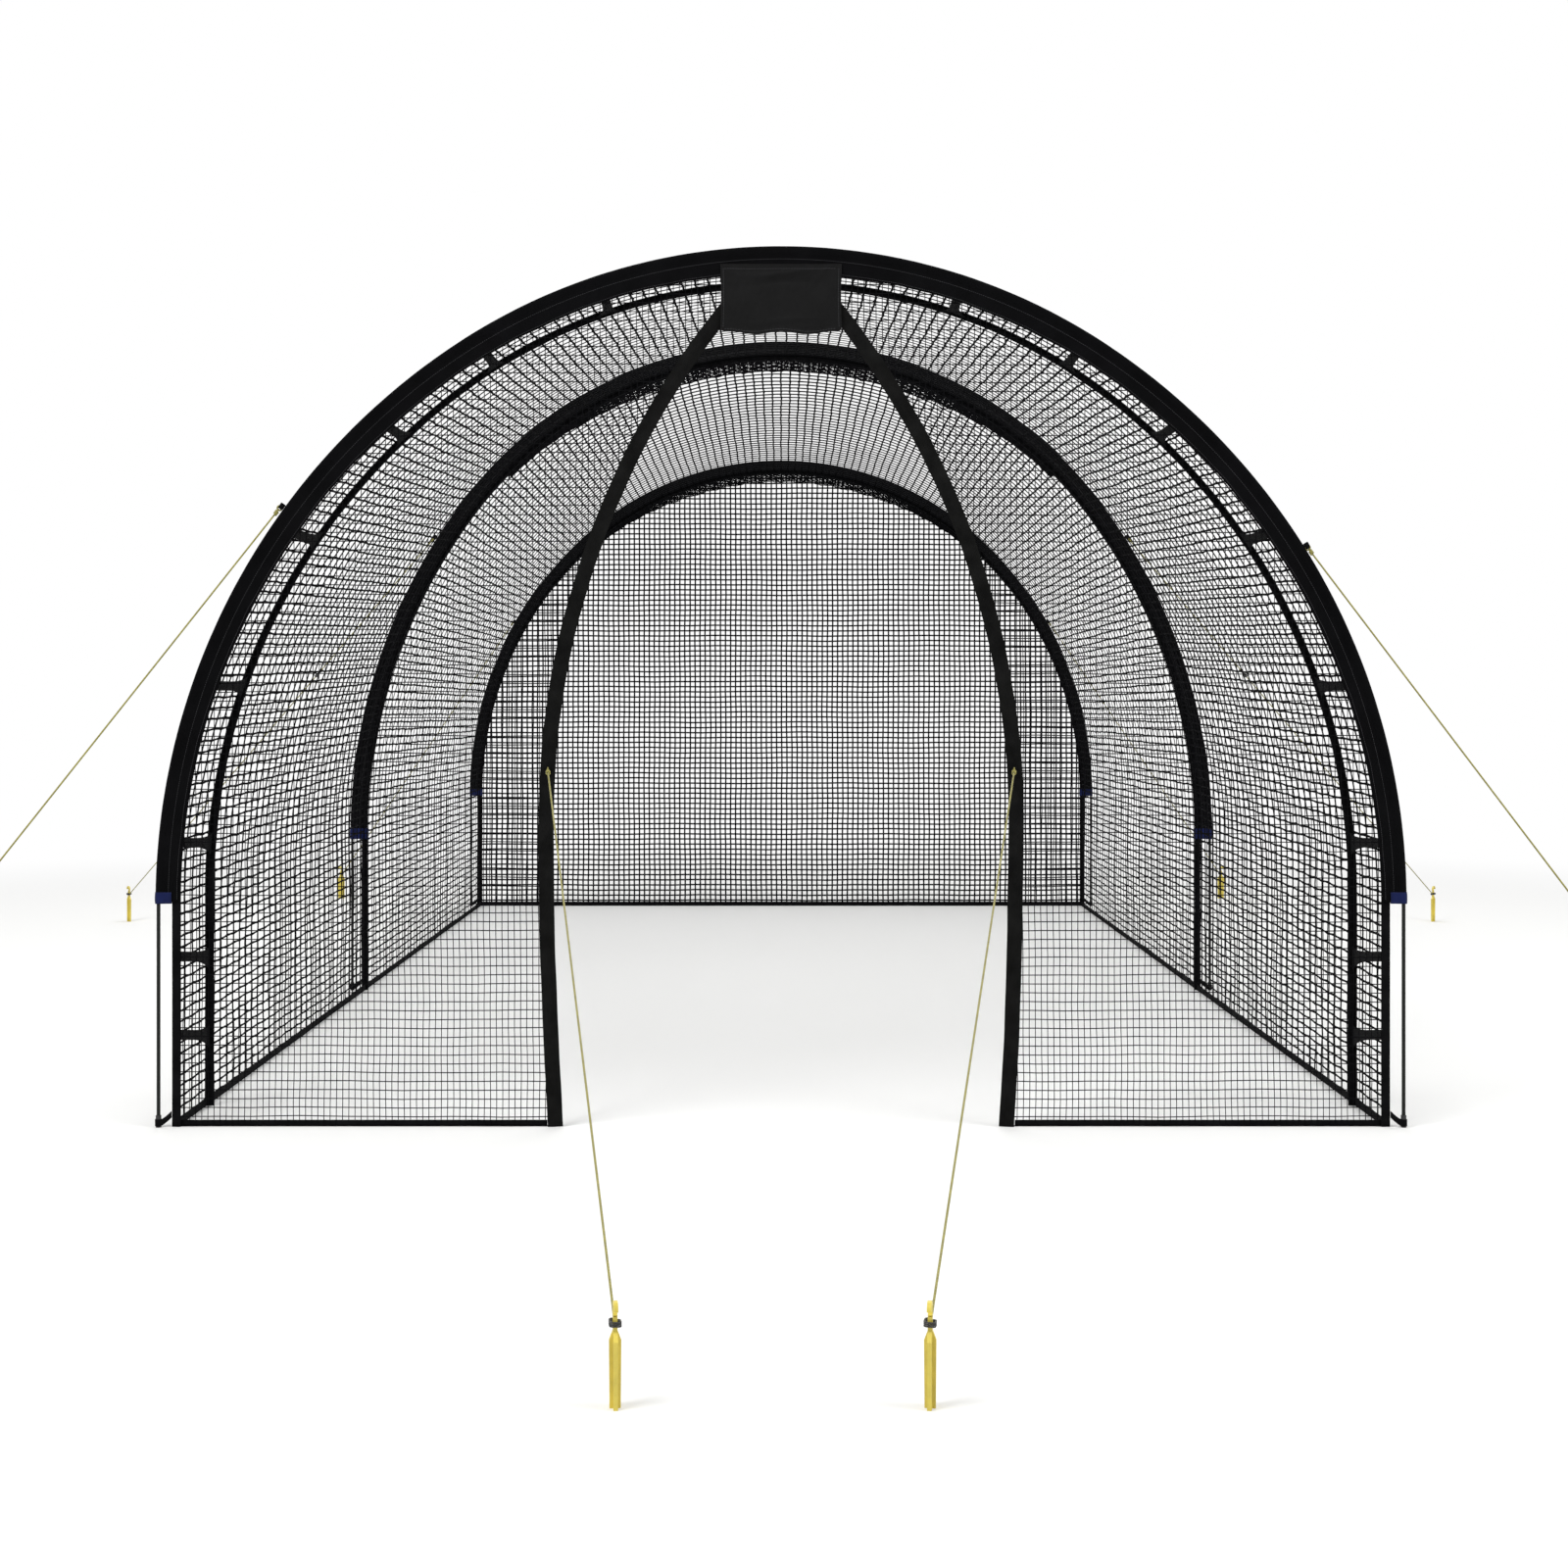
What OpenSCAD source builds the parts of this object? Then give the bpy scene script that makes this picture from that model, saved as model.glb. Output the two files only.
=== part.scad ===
// Golf practice net: a walk-in tunnel cage on three bent poles, held by guy ropes.
// Millimetres. X is right, Y runs from the doorway to the back, Z is up.
// The origin is on the ground, at the middle of the cage.

/* [Cage] */
// Width between the pole centres at the ground
cage_w = 3654; // [3000:2:4400]
// Length from the front hoop to the back hoop
cage_l = 6700; // [5400:10:8200]
// Distance from the front hoop to the middle hoop
middle_l = 3000; // [2400:10:3700]

/* [Hoops] */
// Height of the front hoop, to the pole centre
front_h = 2577; // [2300:1:3100]
// Height of the middle hoop, to the pole centre
middle_h = 2756; // [2300:1:3280]
// Height of the back hoop, to the pole centre
back_h = 2620; // [2300:1:3150]
// Angle at which the front hoop's side arcs meet its crown arc
front_join = 57; // [35:1:65]
// The same angle on the middle hoop
middle_join = 38; // [30:1:60]
// The same angle on the back hoop
back_join = 48; // [35:1:65]
// Height of the straight bare leg
leg_h = 660; // [520:1:800]
// Number of pole sections in a hoop
pole_n = 8; // [6:2:10]
// Diameter of a pole section
pole_d = 11; // [8:0.5:14]
// Length of a ferrule
ferrule_l = 90; // [60:1:130]
// Wall of a ferrule
ferrule_wall = 1.4; // [1:0.1:2]
// Width of the fabric sleeve, from the pole centre to its inner edge
sleeve_w = 72; // [62:1:100]
// Fabric thickness of the sleeve
sleeve_wall = 1.2; // [0.8:0.1:2]

/* [Nets and tapes] */
// Distance of the netting inside the pole line
net_inset = 50; // [42:1:56]
// Thickness of the netting
net_t = 3; // [2:0.5:4]
// Width of a strand of the tunnel netting
strand_w = 12; // [8:1:20]
// Lengthwise strands in the tunnel netting
strand_n = 21; // [13:2:23]
// Crosswise strands in each bay
cross_n = 6; // [4:1:6]
// Mesh pitch of the flat nets
mesh = 180; // [160:5:300]
// Strand width of the flat nets
flat_strand = 6; // [4:0.5:10]
// Width of the edge tape
edge_tape_w = 22; // [16:1:26]
// Thickness of every tape
tape_t = 2.5; // [1.5:0.1:3]
// Height of the ground tapes
ground_tape_h = 25; // [18:1:40]
// Distance of the ring tape behind the front hoop
ring_l = 340; // [300:1:400]
// Depth of the ring tape, inward from the netting
ring_d = 20; // [12:1:30]
// Width of a tab
tab_w = 30; // [20:1:40]
// Depth of the gathered net strips
gather_d = 50; // [30:1:70]
// Length of the gathered net strips over the crown
gather_l = 2700; // [2000:20:3000]

/* [Doorway] */
// Widest half width of the doorway, to the middle of its tapes
door_half = 690; // [560:1:820]
// Height of the widest place
door_wide_z = 900; // [700:1:1100]
// Half width of the doorway at the ground
door_foot = 662; // [560:1:800]
// Half width of the doorway where its tapes end, behind the header panel
door_head = 96; // [60:1:160]
// Distance from the front hoop's sleeve down to the ends of the door tapes
door_drop = 24; // [16:1:60]
// Width of a door tape
door_tape_w = 45; // [35:1:60]
// Width of the header panel
header_w = 356; // [280:1:440]
// Height of the header panel
header_h = 203; // [160:1:240]
// Distance of the header panel's top edge below the pole centre
header_drop = 44; // [40:1:60]

/* [Guy ropes and pegs] */
// Height of the loop for the left front rope
left_front_loop_z = 1812; // [1500:1:2000]
// Height of the loop for the right front rope
right_front_loop_z = 1698; // [1500:1:2000]
// Height of the loops for the middle ropes
middle_loop_z = 1922; // [1500:1:2000]
// Height of the loops for the back ropes
back_loop_z = 1672; // [1500:1:2000]
// Height of the loops for the door ropes
door_loop_z = 1050; // [800:1:1300]
// Diameter of the guy ropes
rope_d = 5; // [4:0.1:6]
// Height of a peg above the ground
peg_h = 194; // [180:1:210]
// Width of a peg
peg_w = 44; // [36:1:50]
// Thickness of a peg's webs
peg_t = 8; // [6:0.5:10]
// Radius of a peg's hook
hook_r = 17; // [14:0.5:18]
// Length of a rope slider
slider_l = 72; // [50:1:90]

/* [Hidden] */
$fn = 48;
half_w = cage_w / 2;
front_y = -cage_l / 2;
middle_y = front_y + middle_l;
back_y = cage_l / 2;
fit = 0.3;                    // clearance between pieces that lie on each other
ferrule_bore = pole_d + 2 * fit;
ferrule_d = ferrule_bore + 2 * ferrule_wall;
bore_d = ferrule_d + 2 * fit; // inside of the sleeve's pole channel
sleeve_r = bore_d / 2 + sleeve_wall;
flange_t = 4;                 // the two fabric layers of the sleeve, sewn together
seam = net_inset - edge_tape_w / 2 - 4; // where the sleeve's channel ends and they begin
band_h = 30;                  // height of the end bands
band_t = 1.5;                 // thickness of the end bands
cap_d = 16;                   // foot caps
cap_h = 35;
cap_floor = 4;
tape_y = flange_t / 2 + fit;  // the tapes lie against the sleeve's inner edge
net_y = tape_y + tape_t + fit;
bay_y = net_y + net_t + fit;
ground_gap = 1;               // soft pieces stop this far above the ground
door_top_z = front_h - sleeve_w - door_drop;
door_low_r = bow(door_wide_z, door_half - door_foot);
door_high_r = bow(door_top_z - door_wide_z, door_half - door_head);
peg_neck_z = peg_h - 42;      // the height at which a rope is tied to a peg
peg_neck = 16;                // width of that neck
loop_d = 16;                  // webbing loops that hold the ropes
loop_w = 20;
// Places of the tabs along the front hoop and along the ring tape, measured from each foot.
tab_places = [[270, 218], [500, 460], [840, 818], [1330, 1330], [1850, 1850], [2280, 2280],
    [2650, 2650], [3050, 3050]];
black = [0.07, 0.07, 0.08];
net_black = [0.13, 0.13, 0.14];
blue = [0.10, 0.14, 0.42];
yellow = [0.84, 0.77, 0.22];

// A guy rope's route, from its webbing loop to its peg.
left_front_route = [[-1473, -3352, 1814], [-2680, -3744, 152]];
right_front_route = [[1547, -3352, 1698], [2610, -3744, 152]];
left_middle_route = [[-1481, -341, 1925], [-3588, 2468, 152]];
right_middle_route = [[1481, -341, 1925], [3588, 2468, 152]];
left_back_route = [[-1581, 3353, 1672], [-2680, 3838, 152]];
right_back_route = [[1581, 3353, 1672], [2680, 3838, 152]];
left_door_route = [[-683, -3365, 1047], [-299, -5922, 152]];
right_door_route = [[683, -3365, 1047], [269, -5922, 152]];

// Radius of an arc that starts upright and drifts by e over a height of long.
function bow(long, e) = (long * long + e * e) / (2 * e);

// A hoop is two straight legs, two side arcs and a crown arc, each tangent to the next. Its
// shape is [height of its top, angle where the side arcs meet the crown], for the pole line.
// Places along it are lengths s from the right foot. Angles are whole thousandths of a degree,
// so that neighbouring arcs meet exactly.
front_hoop = [front_h, front_join];
middle_hoop = [middle_h, middle_join];
back_hoop = [back_h, back_join];
function tidy(a) = round(a * 1000) / 1000;
function join_a(hoop) = tidy(hoop[1]);
function crown_r(hoop) =
    let (a = join_a(hoop), slope = sin(a) / (1 - cos(a)))
    (half_w * slope - hoop[0] + leg_h) / (cos(a) * slope - 1 + sin(a));
function side_r(hoop) = (half_w - crown_r(hoop) * cos(join_a(hoop))) / (1 - cos(join_a(hoop)));
function crown_z(hoop) = leg_h + (side_r(hoop) - crown_r(hoop)) * sin(join_a(hoop));
function arc_l(r, a) = r * a * PI / 180;
function turn(l, r) = l / r * 180 / PI;
function side_l(hoop) = arc_l(side_r(hoop), join_a(hoop));
function crown_l(hoop) = arc_l(crown_r(hoop), 180 - 2 * join_a(hoop));
function hoop_l(hoop) = 2 * (leg_h + side_l(hoop)) + crown_l(hoop);
function stops(hoop) = [0, leg_h, leg_h + side_l(hoop),
    hoop_l(hoop) - leg_h - side_l(hoop), hoop_l(hoop) - leg_h, hoop_l(hoop)];

// The point at s along the hoop, moved outwards by off, as [x, z].
function on_hoop(hoop, s, off) =
    s > hoop_l(hoop) / 2 ? let (p = on_hoop(hoop, hoop_l(hoop) - s, off)) [-p[0], p[1]]
    : s <= leg_h ? [half_w + off, s]
    : let (a = facing(hoop, s), ray = [cos(a), sin(a)])
        s <= leg_h + side_l(hoop)
            ? [half_w - side_r(hoop), leg_h] + (side_r(hoop) + off) * ray
            : [0, crown_z(hoop)] + (crown_r(hoop) + off) * ray;

// The direction that faces outwards at s, as an angle from +X.
function facing(hoop, s) =
    s > hoop_l(hoop) / 2 ? 180 - facing(hoop, hoop_l(hoop) - s)
    : s <= leg_h ? 0
    : s <= leg_h + side_l(hoop) ? turn(s - leg_h, side_r(hoop))
    : join_a(hoop) + turn(s - leg_h - side_l(hoop), crown_r(hoop));

// How far along the hoop its side arc reaches the height z.
function reach(hoop, z) = leg_h + arc_l(side_r(hoop), asin((z - leg_h) / side_r(hoop)));

// Sweeps a profile along the hoop from s0 to s1. The profile's x points outwards from the
// pole line, and its y points to the front.
module along_hoop(hoop, s0, s1) {
    for (k = [0:4]) {
        a = max(s0, stops(hoop)[k]);
        b = min(s1, stops(hoop)[k + 1]);
        if (b - a > 0.01)
            hoop_stretch(hoop, k, a - stops(hoop)[k], b - a)
                children();
    }
}

// Moves by whole millimetres, then by the part down to five decimals, then by what is left,
// which keeps every digit.
module exactly(v) {
    whole = [for (c = v) floor(c)];
    part = [for (c = v) floor(c * 1e5) / 1e5] - whole;
    translate(whole)
        translate(part)
            translate(v - whole - part)
                children();
}

// One of the hoop's five stretches: right leg, right side, crown, left side or left leg.
module hoop_stretch(hoop, k, from, long) {
    r = k == 2 ? crown_r(hoop) : side_r(hoop);
    a0 = [0, 0, join_a(hoop), 180 - join_a(hoop), 180][k];
    a1 = [0, join_a(hoop), 180 - join_a(hoop), 180, 180][k];
    start = from < 0.01 ? a0 : a0 + tidy(turn(from, r));
    end = from + long > arc_l(r, a1 - a0) - 0.01 ? a1 : a0 + tidy(turn(from + long, r));
    if (k == 0)
        translate([half_w, 0, from])
            linear_extrude(long)
                mirror([0, 1])
                    children();
    else if (k == 4)
        translate([-half_w, 0, leg_h - from - long])
            linear_extrude(long)
                rotate(180)
                    children();
    else
        exactly([k == 2 ? 0 : (2 - k) * (half_w - r), 0, k == 2 ? crown_z(hoop) : leg_h])
            rotate([90, 0, 0])
                rotate_extrude(angle = end - start, start = start, $fn = 360)
                    exactly([r, 0])
                        let ($fn = 48)
                            children();
}

// A thin solid between two grids of points. With open set, every second cell in both
// directions is a window through it.
module panel(face, back, open = false) {
    rows = len(face);
    cols = len(face[0]);
    function id(k, i, j) = (k * rows + i) * cols + j;
    function held(i, j) = i >= 0 && j >= 0 && i < rows - 1 && j < cols - 1
        && !(open && i % 2 == 1 && j % 2 == 1);
    function wall(i0, j0, i1, j1) = [
        [id(0, i0, j0), id(0, i1, j1), id(1, i1, j1)],
        [id(0, i0, j0), id(1, i1, j1), id(1, i0, j0)]];
    faces = [for (i = [0:rows - 2], j = [0:cols - 2]) if (held(i, j)) each concat(
        [[id(0, i, j), id(0, i + 1, j), id(0, i + 1, j + 1)],
         [id(0, i, j), id(0, i + 1, j + 1), id(0, i, j + 1)],
         [id(1, i, j), id(1, i + 1, j + 1), id(1, i + 1, j)],
         [id(1, i, j), id(1, i, j + 1), id(1, i + 1, j + 1)]],
        held(i - 1, j) ? [] : wall(i, j, i, j + 1),
        held(i + 1, j) ? [] : wall(i + 1, j + 1, i + 1, j),
        held(i, j - 1) ? [] : wall(i + 1, j, i, j),
        held(i, j + 1) ? [] : wall(i, j + 1, i + 1, j + 1))];
    polyhedron([for (grid = [face, back], row = grid, p = row) p], faces);
}

// A round tube along a route, with eight sides and a ring at each of its points.
module rope(route, sides = 8) {
    last = len(route) - 1;
    function unit(v) = v / norm(v);
    function ahead(i) = unit(route[min(i + 1, last)] - route[max(i - 1, 0)]);
    function across(i) = unit(cross(ahead(i), [0, 0, 1]));
    ring_points = [for (i = [0:last], k = [0:sides - 1])
        let (a = (k + 0.5) * 360 / sides, u = across(i), w = cross(u, ahead(i)))
        route[i] + rope_d / 2 * (cos(a) * u + sin(a) * w)];
    walls = [for (i = [0:last - 1], k = [0:sides - 1])
        let (n = (k + 1) % sides, p = i * sides)
        each [[p + k, p + n, p + sides + n], [p + k, p + sides + n, p + sides + k]]];
    polyhedron(ring_points, concat(walls,
        [[for (k = [sides - 1:-1:0]) k], [for (k = [0:sides - 1]) last * sides + k]]));
}

// ---- poles ----

module pole_sections(hoop, first, last) {
    step = hoop_l(hoop) / pole_n;
    for (i = [first:last])
        along_hoop(hoop, max(i * step + fit, cap_floor + fit),
            min((i + 1) * step - fit, hoop_l(hoop) - cap_floor - fit))
            circle(d = pole_d);
}

module leg_poles(y, hoop) {
    color(black)
        translate([0, y, 0]) {
            pole_sections(hoop, 0, 0);
            pole_sections(hoop, pole_n - 1, pole_n - 1);
        }
}

module upper_poles(y, hoop) {
    color(black)
        translate([0, y, 0])
            pole_sections(hoop, 1, pole_n - 2);
}

module ferrules(y, hoop) {
    color("silver")
        translate([0, y, 0])
            for (i = [1:pole_n - 1])
                let (s = i * hoop_l(hoop) / pole_n)
                along_hoop(hoop, s - ferrule_l / 2, s + ferrule_l / 2)
                    difference() {
                        circle(d = ferrule_d);
                        circle(d = ferrule_bore);
                    }
}

module foot_caps() {
    color(black)
        for (y = [front_y, middle_y, back_y], side = [-1, 1])
            translate([side * half_w, y, 0])
                difference() {
                    cylinder(d = cap_d, h = cap_h);
                    translate([0, 0, cap_floor])
                        cylinder(d = pole_d + 2 * fit, h = cap_h);
                }
}

// ---- sleeves, bands and tapes ----

// The sleeve's section: a channel round the pole, which narrows to two layers sewn together.
// grow widens it.
module sleeve_outline(grow = 0) {
    r = sleeve_r + grow;
    half = flange_t / 2 + grow;
    circle(r = r);
    polygon([[0, r], [-seam, half], [-sleeve_w - grow, half],
        [-sleeve_w - grow, -half], [-seam, -half], [0, -r]]);
}

module sleeve(y, hoop) {
    color(black)
        translate([0, y, 0])
            along_hoop(hoop, leg_h, hoop_l(hoop) - leg_h)
                difference() {
                    sleeve_outline();
                    circle(d = bore_d);
                }
}

// Blue binding round the sleeves' lower ends, from the edge tape round to the edge tape.
module end_bands() {
    edge = edge_tape_w / 2 + fit - net_inset;
    color(blue)
        for (y = [front_y, middle_y, back_y], side = [0, 1])
            translate([0, y, 0])
                mirror([side, 0, 0])
                    along_hoop(hoop_at(y), leg_h + fit, leg_h + band_h)
                        difference() {
                            sleeve_outline(fit + band_t);
                            sleeve_outline(fit);
                            translate([edge - 2 * sleeve_w, -sleeve_w])
                                square(2 * sleeve_w);
                        }
}

module edge_tape(y, hoop) {
    color(black)
        translate([0, y, 0])
            along_hoop(hoop, ground_gap, hoop_l(hoop) - ground_gap)
                translate([-net_inset, -tape_y - tape_t / 2])
                    square([edge_tape_w, tape_t], center = true);
}

// Straps that hold the edge tapes' feet to the poles.
module corner_straps() {
    strap_h = 20;
    reach_in = net_inset - edge_tape_w / 2 - fit;
    ring_r = cap_d / 2 + fit;
    color(black)
        for (y = [front_y, middle_y, back_y], side = [-1, 1])
            translate([side * half_w, y, cap_floor])
                difference() {
                    union() {
                        cylinder(r = ring_r + tape_t, h = strap_h);
                        translate([side > 0 ? -reach_in : 0, -tape_t / 2, 0])
                            cube([reach_in, tape_t, strap_h]);
                    }
                    translate([0, 0, -1])
                        cylinder(r = ring_r, h = strap_h + 2);
                }
}

// ---- nets ----

// The shape that a hoop would have at the place y.
function hoop_at(y) = y < middle_y
    ? front_hoop + (middle_hoop - front_hoop) * (y - front_y) / middle_l
    : middle_hoop + (back_hoop - middle_hoop) * (y - middle_y) / (back_y - middle_y);

// The place at s along the hoop over y, off outwards of the pole line.
function on_net(y, s, off) = let (p = on_hoop(hoop_at(y), s, off)) [p[0], y, p[1]];

// How far a crosswise strand dips inside the hoop's curve between two lengthwise strands.
function net_dip(hoop) =
    pow(hoop_l(hoop) / (strand_n - 1), 2) / 8 / min(crown_r(hoop), side_r(hoop));

// The two edges of each of n strands, spread over a length.
function strand_edges(n, long) = [for (i = [0:n - 1], side = [-1, 1])
    strand_w / 2 + i / (n - 1) * (long - strand_w) + side * strand_w / 2];

function bay_grid(y0, y1, off) =
    [for (y = strand_edges(cross_n, y1 - y0))
        let (long = hoop_l(hoop_at(y0 + y)) - 2 * ground_gap)
        [for (s = strand_edges(strand_n, long)) on_net(y0 + y, ground_gap + s, off)]];

module bay_net(y0, y1) {
    color(net_black)
        panel(bay_grid(y0, y1, -net_inset), bay_grid(y0, y1, -net_inset - net_t), open = true);
}

// The area inside the nets of a hoop, less a margin all round, in the plane of the hoop.
module arch_area(hoop, margin) {
    steps = 72;
    intersection() {
        polygon([for (i = [0:steps])
            on_hoop(hoop, i / steps * hoop_l(hoop), -net_inset - margin)]);
        translate([-half_w, ground_gap + margin])
            square([cage_w, hoop[0]]);
    }
}

// Half the width of the doorway at height z, to the middle of its tape.
function door_x(z) =
    let (r = z < door_wide_z ? door_low_r : door_high_r)
    door_half - r + sqrt(r * r - (z - door_wide_z) * (z - door_wide_z));

// The doorway up to the ends of its tapes, widened by a margin.
module door_area(margin) {
    steps = 40;
    right = [for (i = [0:steps]) let (z = i / steps * door_top_z) [door_x(z) + margin, z]];
    left = [for (i = [steps:-1:0]) [-right[i][0], right[i][1]]];
    polygon(concat(right, left));
}

// Square netting over the first child's area, with a border that the second child leaves out.
module flat_net(h) {
    intersection() {
        children(0);
        union() {
            for (x = [-mesh * floor(half_w / mesh):mesh:half_w])
                translate([x - flat_strand / 2, 0])
                    square([flat_strand, h]);
            for (z = [mesh:mesh:h])
                translate([-half_w, z - flat_strand / 2])
                    square([cage_w, flat_strand]);
        }
    }
    difference() {
        children(0);
        children(1);
    }
}

module upright(y) {
    translate([0, y, 0])
        rotate([90, 0, 0])
            linear_extrude(net_t)
                children();
}

module back_net() {
    color(net_black)
        upright(back_y + net_y + net_t)
            flat_net(back_h) {
                arch_area(back_hoop, 0);
                arch_area(back_hoop, flat_strand);
            }
}

// The area beside the doorway, less a margin all round.
module front_area(side, margin) {
    beyond = side > 0 ? -half_w : 0;
    difference() {
        arch_area(front_hoop, margin);
        door_area(margin);
        translate([beyond - margin, 0])
            square([half_w + 2 * margin, front_h]);
    }
}

module front_net(side) {
    color(net_black)
        upright(front_y + net_y + net_t)
            flat_net(front_h) {
                front_area(side, 0);
                front_area(side, flat_strand);
            }
}

// A strip of netting that hangs in small folds under the crown of a hoop.
module gather(y, hoop) {
    fold = 80;
    sway = 7;
    steps = 4 * round(gather_l / fold);
    function row(i, side) =
        let (s = hoop_l(hoop) / 2 + (i / steps - 0.5) * gather_l)
        [for (loose = [0, 1])
            let (p = on_hoop(hoop, s, -sleeve_w - fit - loose * gather_d),
                bulge = loose * sway * (sin(i * 90) - 1))
            [p[0], y + bulge + side * net_t / 2, p[1]]];
    color(net_black)
        panel([for (i = [0:steps]) row(i, -1)], [for (i = [0:steps]) row(i, 1)]);
}

// A tape on edge, all the way round under the netting.
module ring_tape() {
    y = front_y + ring_l;
    hoop = hoop_at(y);
    color(black)
        translate([0, y, 0])
            along_hoop(hoop, ground_gap, hoop_l(hoop) - ground_gap)
                translate([-net_inset - net_t - fit - ring_d, -tape_t / 2])
                    square([ring_d, tape_t]);
}

// Tabs that join the ring tape to the front hoop, under the dip of the netting.
module ring_tabs() {
    y0 = front_y + bay_y;
    y1 = front_y + ring_l - tape_t / 2 - fit;
    off = -net_inset - net_t - fit - net_dip(hoop_at(y1));
    color(black)
        for (place = tab_places, side = [-1, 1])
            mirror([side < 0 ? 1 : 0, 0, 0])
                tab(place, y0, y1, off);
}

module tab(place, y0, y1, off) {
    function face(off) =
        [for (end = [[y0, place[0]], [y1, place[1]]])
            [for (edge = [-0.5, 0.5]) on_net(end[0], end[1] + edge * tab_w, off)]];
    panel(face(off), face(off - tape_t));
}

module side_ground_tape(side) {
    y0 = front_y + bay_y;
    y1 = back_y - flange_t / 2 - fit;
    x = half_w - net_inset - net_t - fit - tape_t;
    color(black)
        mirror([side < 0 ? 1 : 0, 0, 0])
            difference() {
                translate([x, y0, 0])
                    cube([tape_t, y1 - y0, ground_tape_h]);
                tape_slot(x, front_y + ring_l);
                tape_slot(x, middle_y + tape_y + tape_t / 2);
            }
}

// Room for a tape that crosses a side ground tape, from just above the ground.
module tape_slot(x, y) {
    slot_w = tape_t + 2 * fit;
    translate([x - 1, y - slot_w / 2, ground_gap - fit])
        cube([tape_t + 2, slot_w, ground_tape_h]);
}

module back_ground_tape() {
    inner = half_w - net_inset;
    color(black)
        translate([-inner, back_y + bay_y, 0])
            cube([2 * inner, tape_t, ground_tape_h]);
}

module front_ground_tape(side) {
    x0 = door_x(ground_tape_h) + door_tape_w / 2;
    x1 = half_w - net_inset - net_t - 2 * fit - tape_t;
    color(black)
        translate([side > 0 ? x0 : -x1, front_y + bay_y, 0])
            cube([x1 - x0, tape_t, ground_tape_h * 0.8]);
}

// ---- doorway ----

module door_tape(side) {
    low = tidy(asin((door_wide_z - ground_gap) / door_low_r));
    high = tidy(asin((door_top_z - door_wide_z) / door_high_r));
    color(black)
        mirror([side < 0 ? 1 : 0, 0, 0]) {
            door_arc(door_low_r, -low, low);
            door_arc(door_high_r, 0, high);
        }
}

module door_arc(r, start, angle) {
    exactly([door_half - r, front_y + tape_y + tape_t, door_wide_z])
        rotate([90, 0, 0])
            rotate_extrude(angle = angle, start = start, $fn = 360)
                exactly([r, 0])
                    translate([-door_tape_w / 2, 0])
                        square([door_tape_w, tape_t]);
}

// Fabric sewn to the front of the sleeve, which hangs in shallow waves.
module header_panel() {
    cols = 16;
    rows = 5;
    sway = 4;
    thick = 2;
    top_z = front_h - header_drop;
    crown = crown_r(front_hoop);
    corner = top_z - crown_z(front_hoop) - sqrt(crown * crown - header_w * header_w / 4);
    seat = sleeve_half(corner) + fit;
    function place(i, j, front) =
        let (x = (i / cols - 0.5) * header_w, down = j / rows,
            wave = sway * down * (1 + sin(x * 2.6)) / 2,
            hem = sway * down * cos(x * 2.2))
        [x, front_y - seat - wave - front * thick, top_z - down * header_h + hem];
    color(black)
        panel([for (i = [0:cols]) [for (j = [0:rows]) place(i, j, 0)]],
            [for (i = [0:cols]) [for (j = [0:rows]) place(i, j, 1)]]);
}

// Half the sleeve's thickness at off from the pole line.
function sleeve_half(off) =
    flange_t / 2 + (sleeve_r - flange_t / 2) * max(0, 1 + off / seam);

// ---- guy ropes ----

module loop_tube() {
    rotate([90, 0, 0])
        difference() {
            cylinder(d = loop_d, h = loop_w, center = true);
            cylinder(d = loop_d - 2 * tape_t, h = loop_w + 1, center = true);
        }
}

// A webbing loop on the outside of a hoop's sleeve, at height z.
module hoop_loop(y, hoop, z, side) {
    s = reach(hoop, z);
    place = on_hoop(hoop, s, sleeve_r + fit + loop_d / 2);
    translate([side * place[0], y, place[1]])
        rotate([0, -side * facing(hoop, s), 0])
            rotate([90, 0, 0])
                loop_tube();
}

// A webbing loop on the front of a door tape.
module door_loop(z, side) {
    translate([side * door_x(z), front_y + tape_y - fit - loop_d / 2, z])
        rotate([90, 0, 0])
            loop_tube();
}

module guy_loops() {
    color(black) {
        hoop_loop(front_y, front_hoop, left_front_loop_z, -1);
        hoop_loop(front_y, front_hoop, right_front_loop_z, 1);
        for (side = [-1, 1]) {
            hoop_loop(middle_y, middle_hoop, middle_loop_z, side);
            hoop_loop(back_y, back_hoop, back_loop_z, side);
            door_loop(door_loop_z, side);
        }
    }
}

module guy(route) {
    color(yellow)
        rope(route);
}

// A moulded peg at the end of a rope: crossed webs, a neck for the rope, and a hook that faces
// away from the cage.
module peg(route) {
    way = route[1] - route[0];
    away = atan2(way[1], way[0]);
    gap = peg_neck / 2 + rope_d / 2 * abs(way[2]) / norm(way) + fit;
    tip = peg_w / 2 - 2;
    color(yellow)
        translate([route[1][0], route[1][1], 0])
            rotate(away)
                translate([gap, 0, 0]) {
                    rotate([90, 0, 0])
                        linear_extrude(peg_t, center = true)
                            peg_side(tip);
                    rotate([90, 0, 90])
                        linear_extrude(peg_t, center = true)
                            peg_cross(tip);
                }
}

module peg_side(tip) {
    shoulder = peg_neck_z - 30;
    polygon([[-tip, 0], [tip, 0], [peg_w / 2, shoulder], [peg_neck / 2, peg_neck_z - 12],
        [peg_neck / 2, peg_neck_z + 12], [-peg_neck / 2, peg_neck_z + 12],
        [-peg_neck / 2, peg_neck_z - 12], [-peg_w / 2, shoulder]]);
    translate([hook_r - peg_neck / 2, peg_h - hook_r])
        difference() {
            circle(r = hook_r);
            circle(r = hook_r - peg_t);
            translate([0, -2 * hook_r])
                square(2 * hook_r);
            translate([-hook_r / 2, -2 * hook_r])
                square([hook_r, 1.4 * hook_r]);
        }
}

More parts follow.
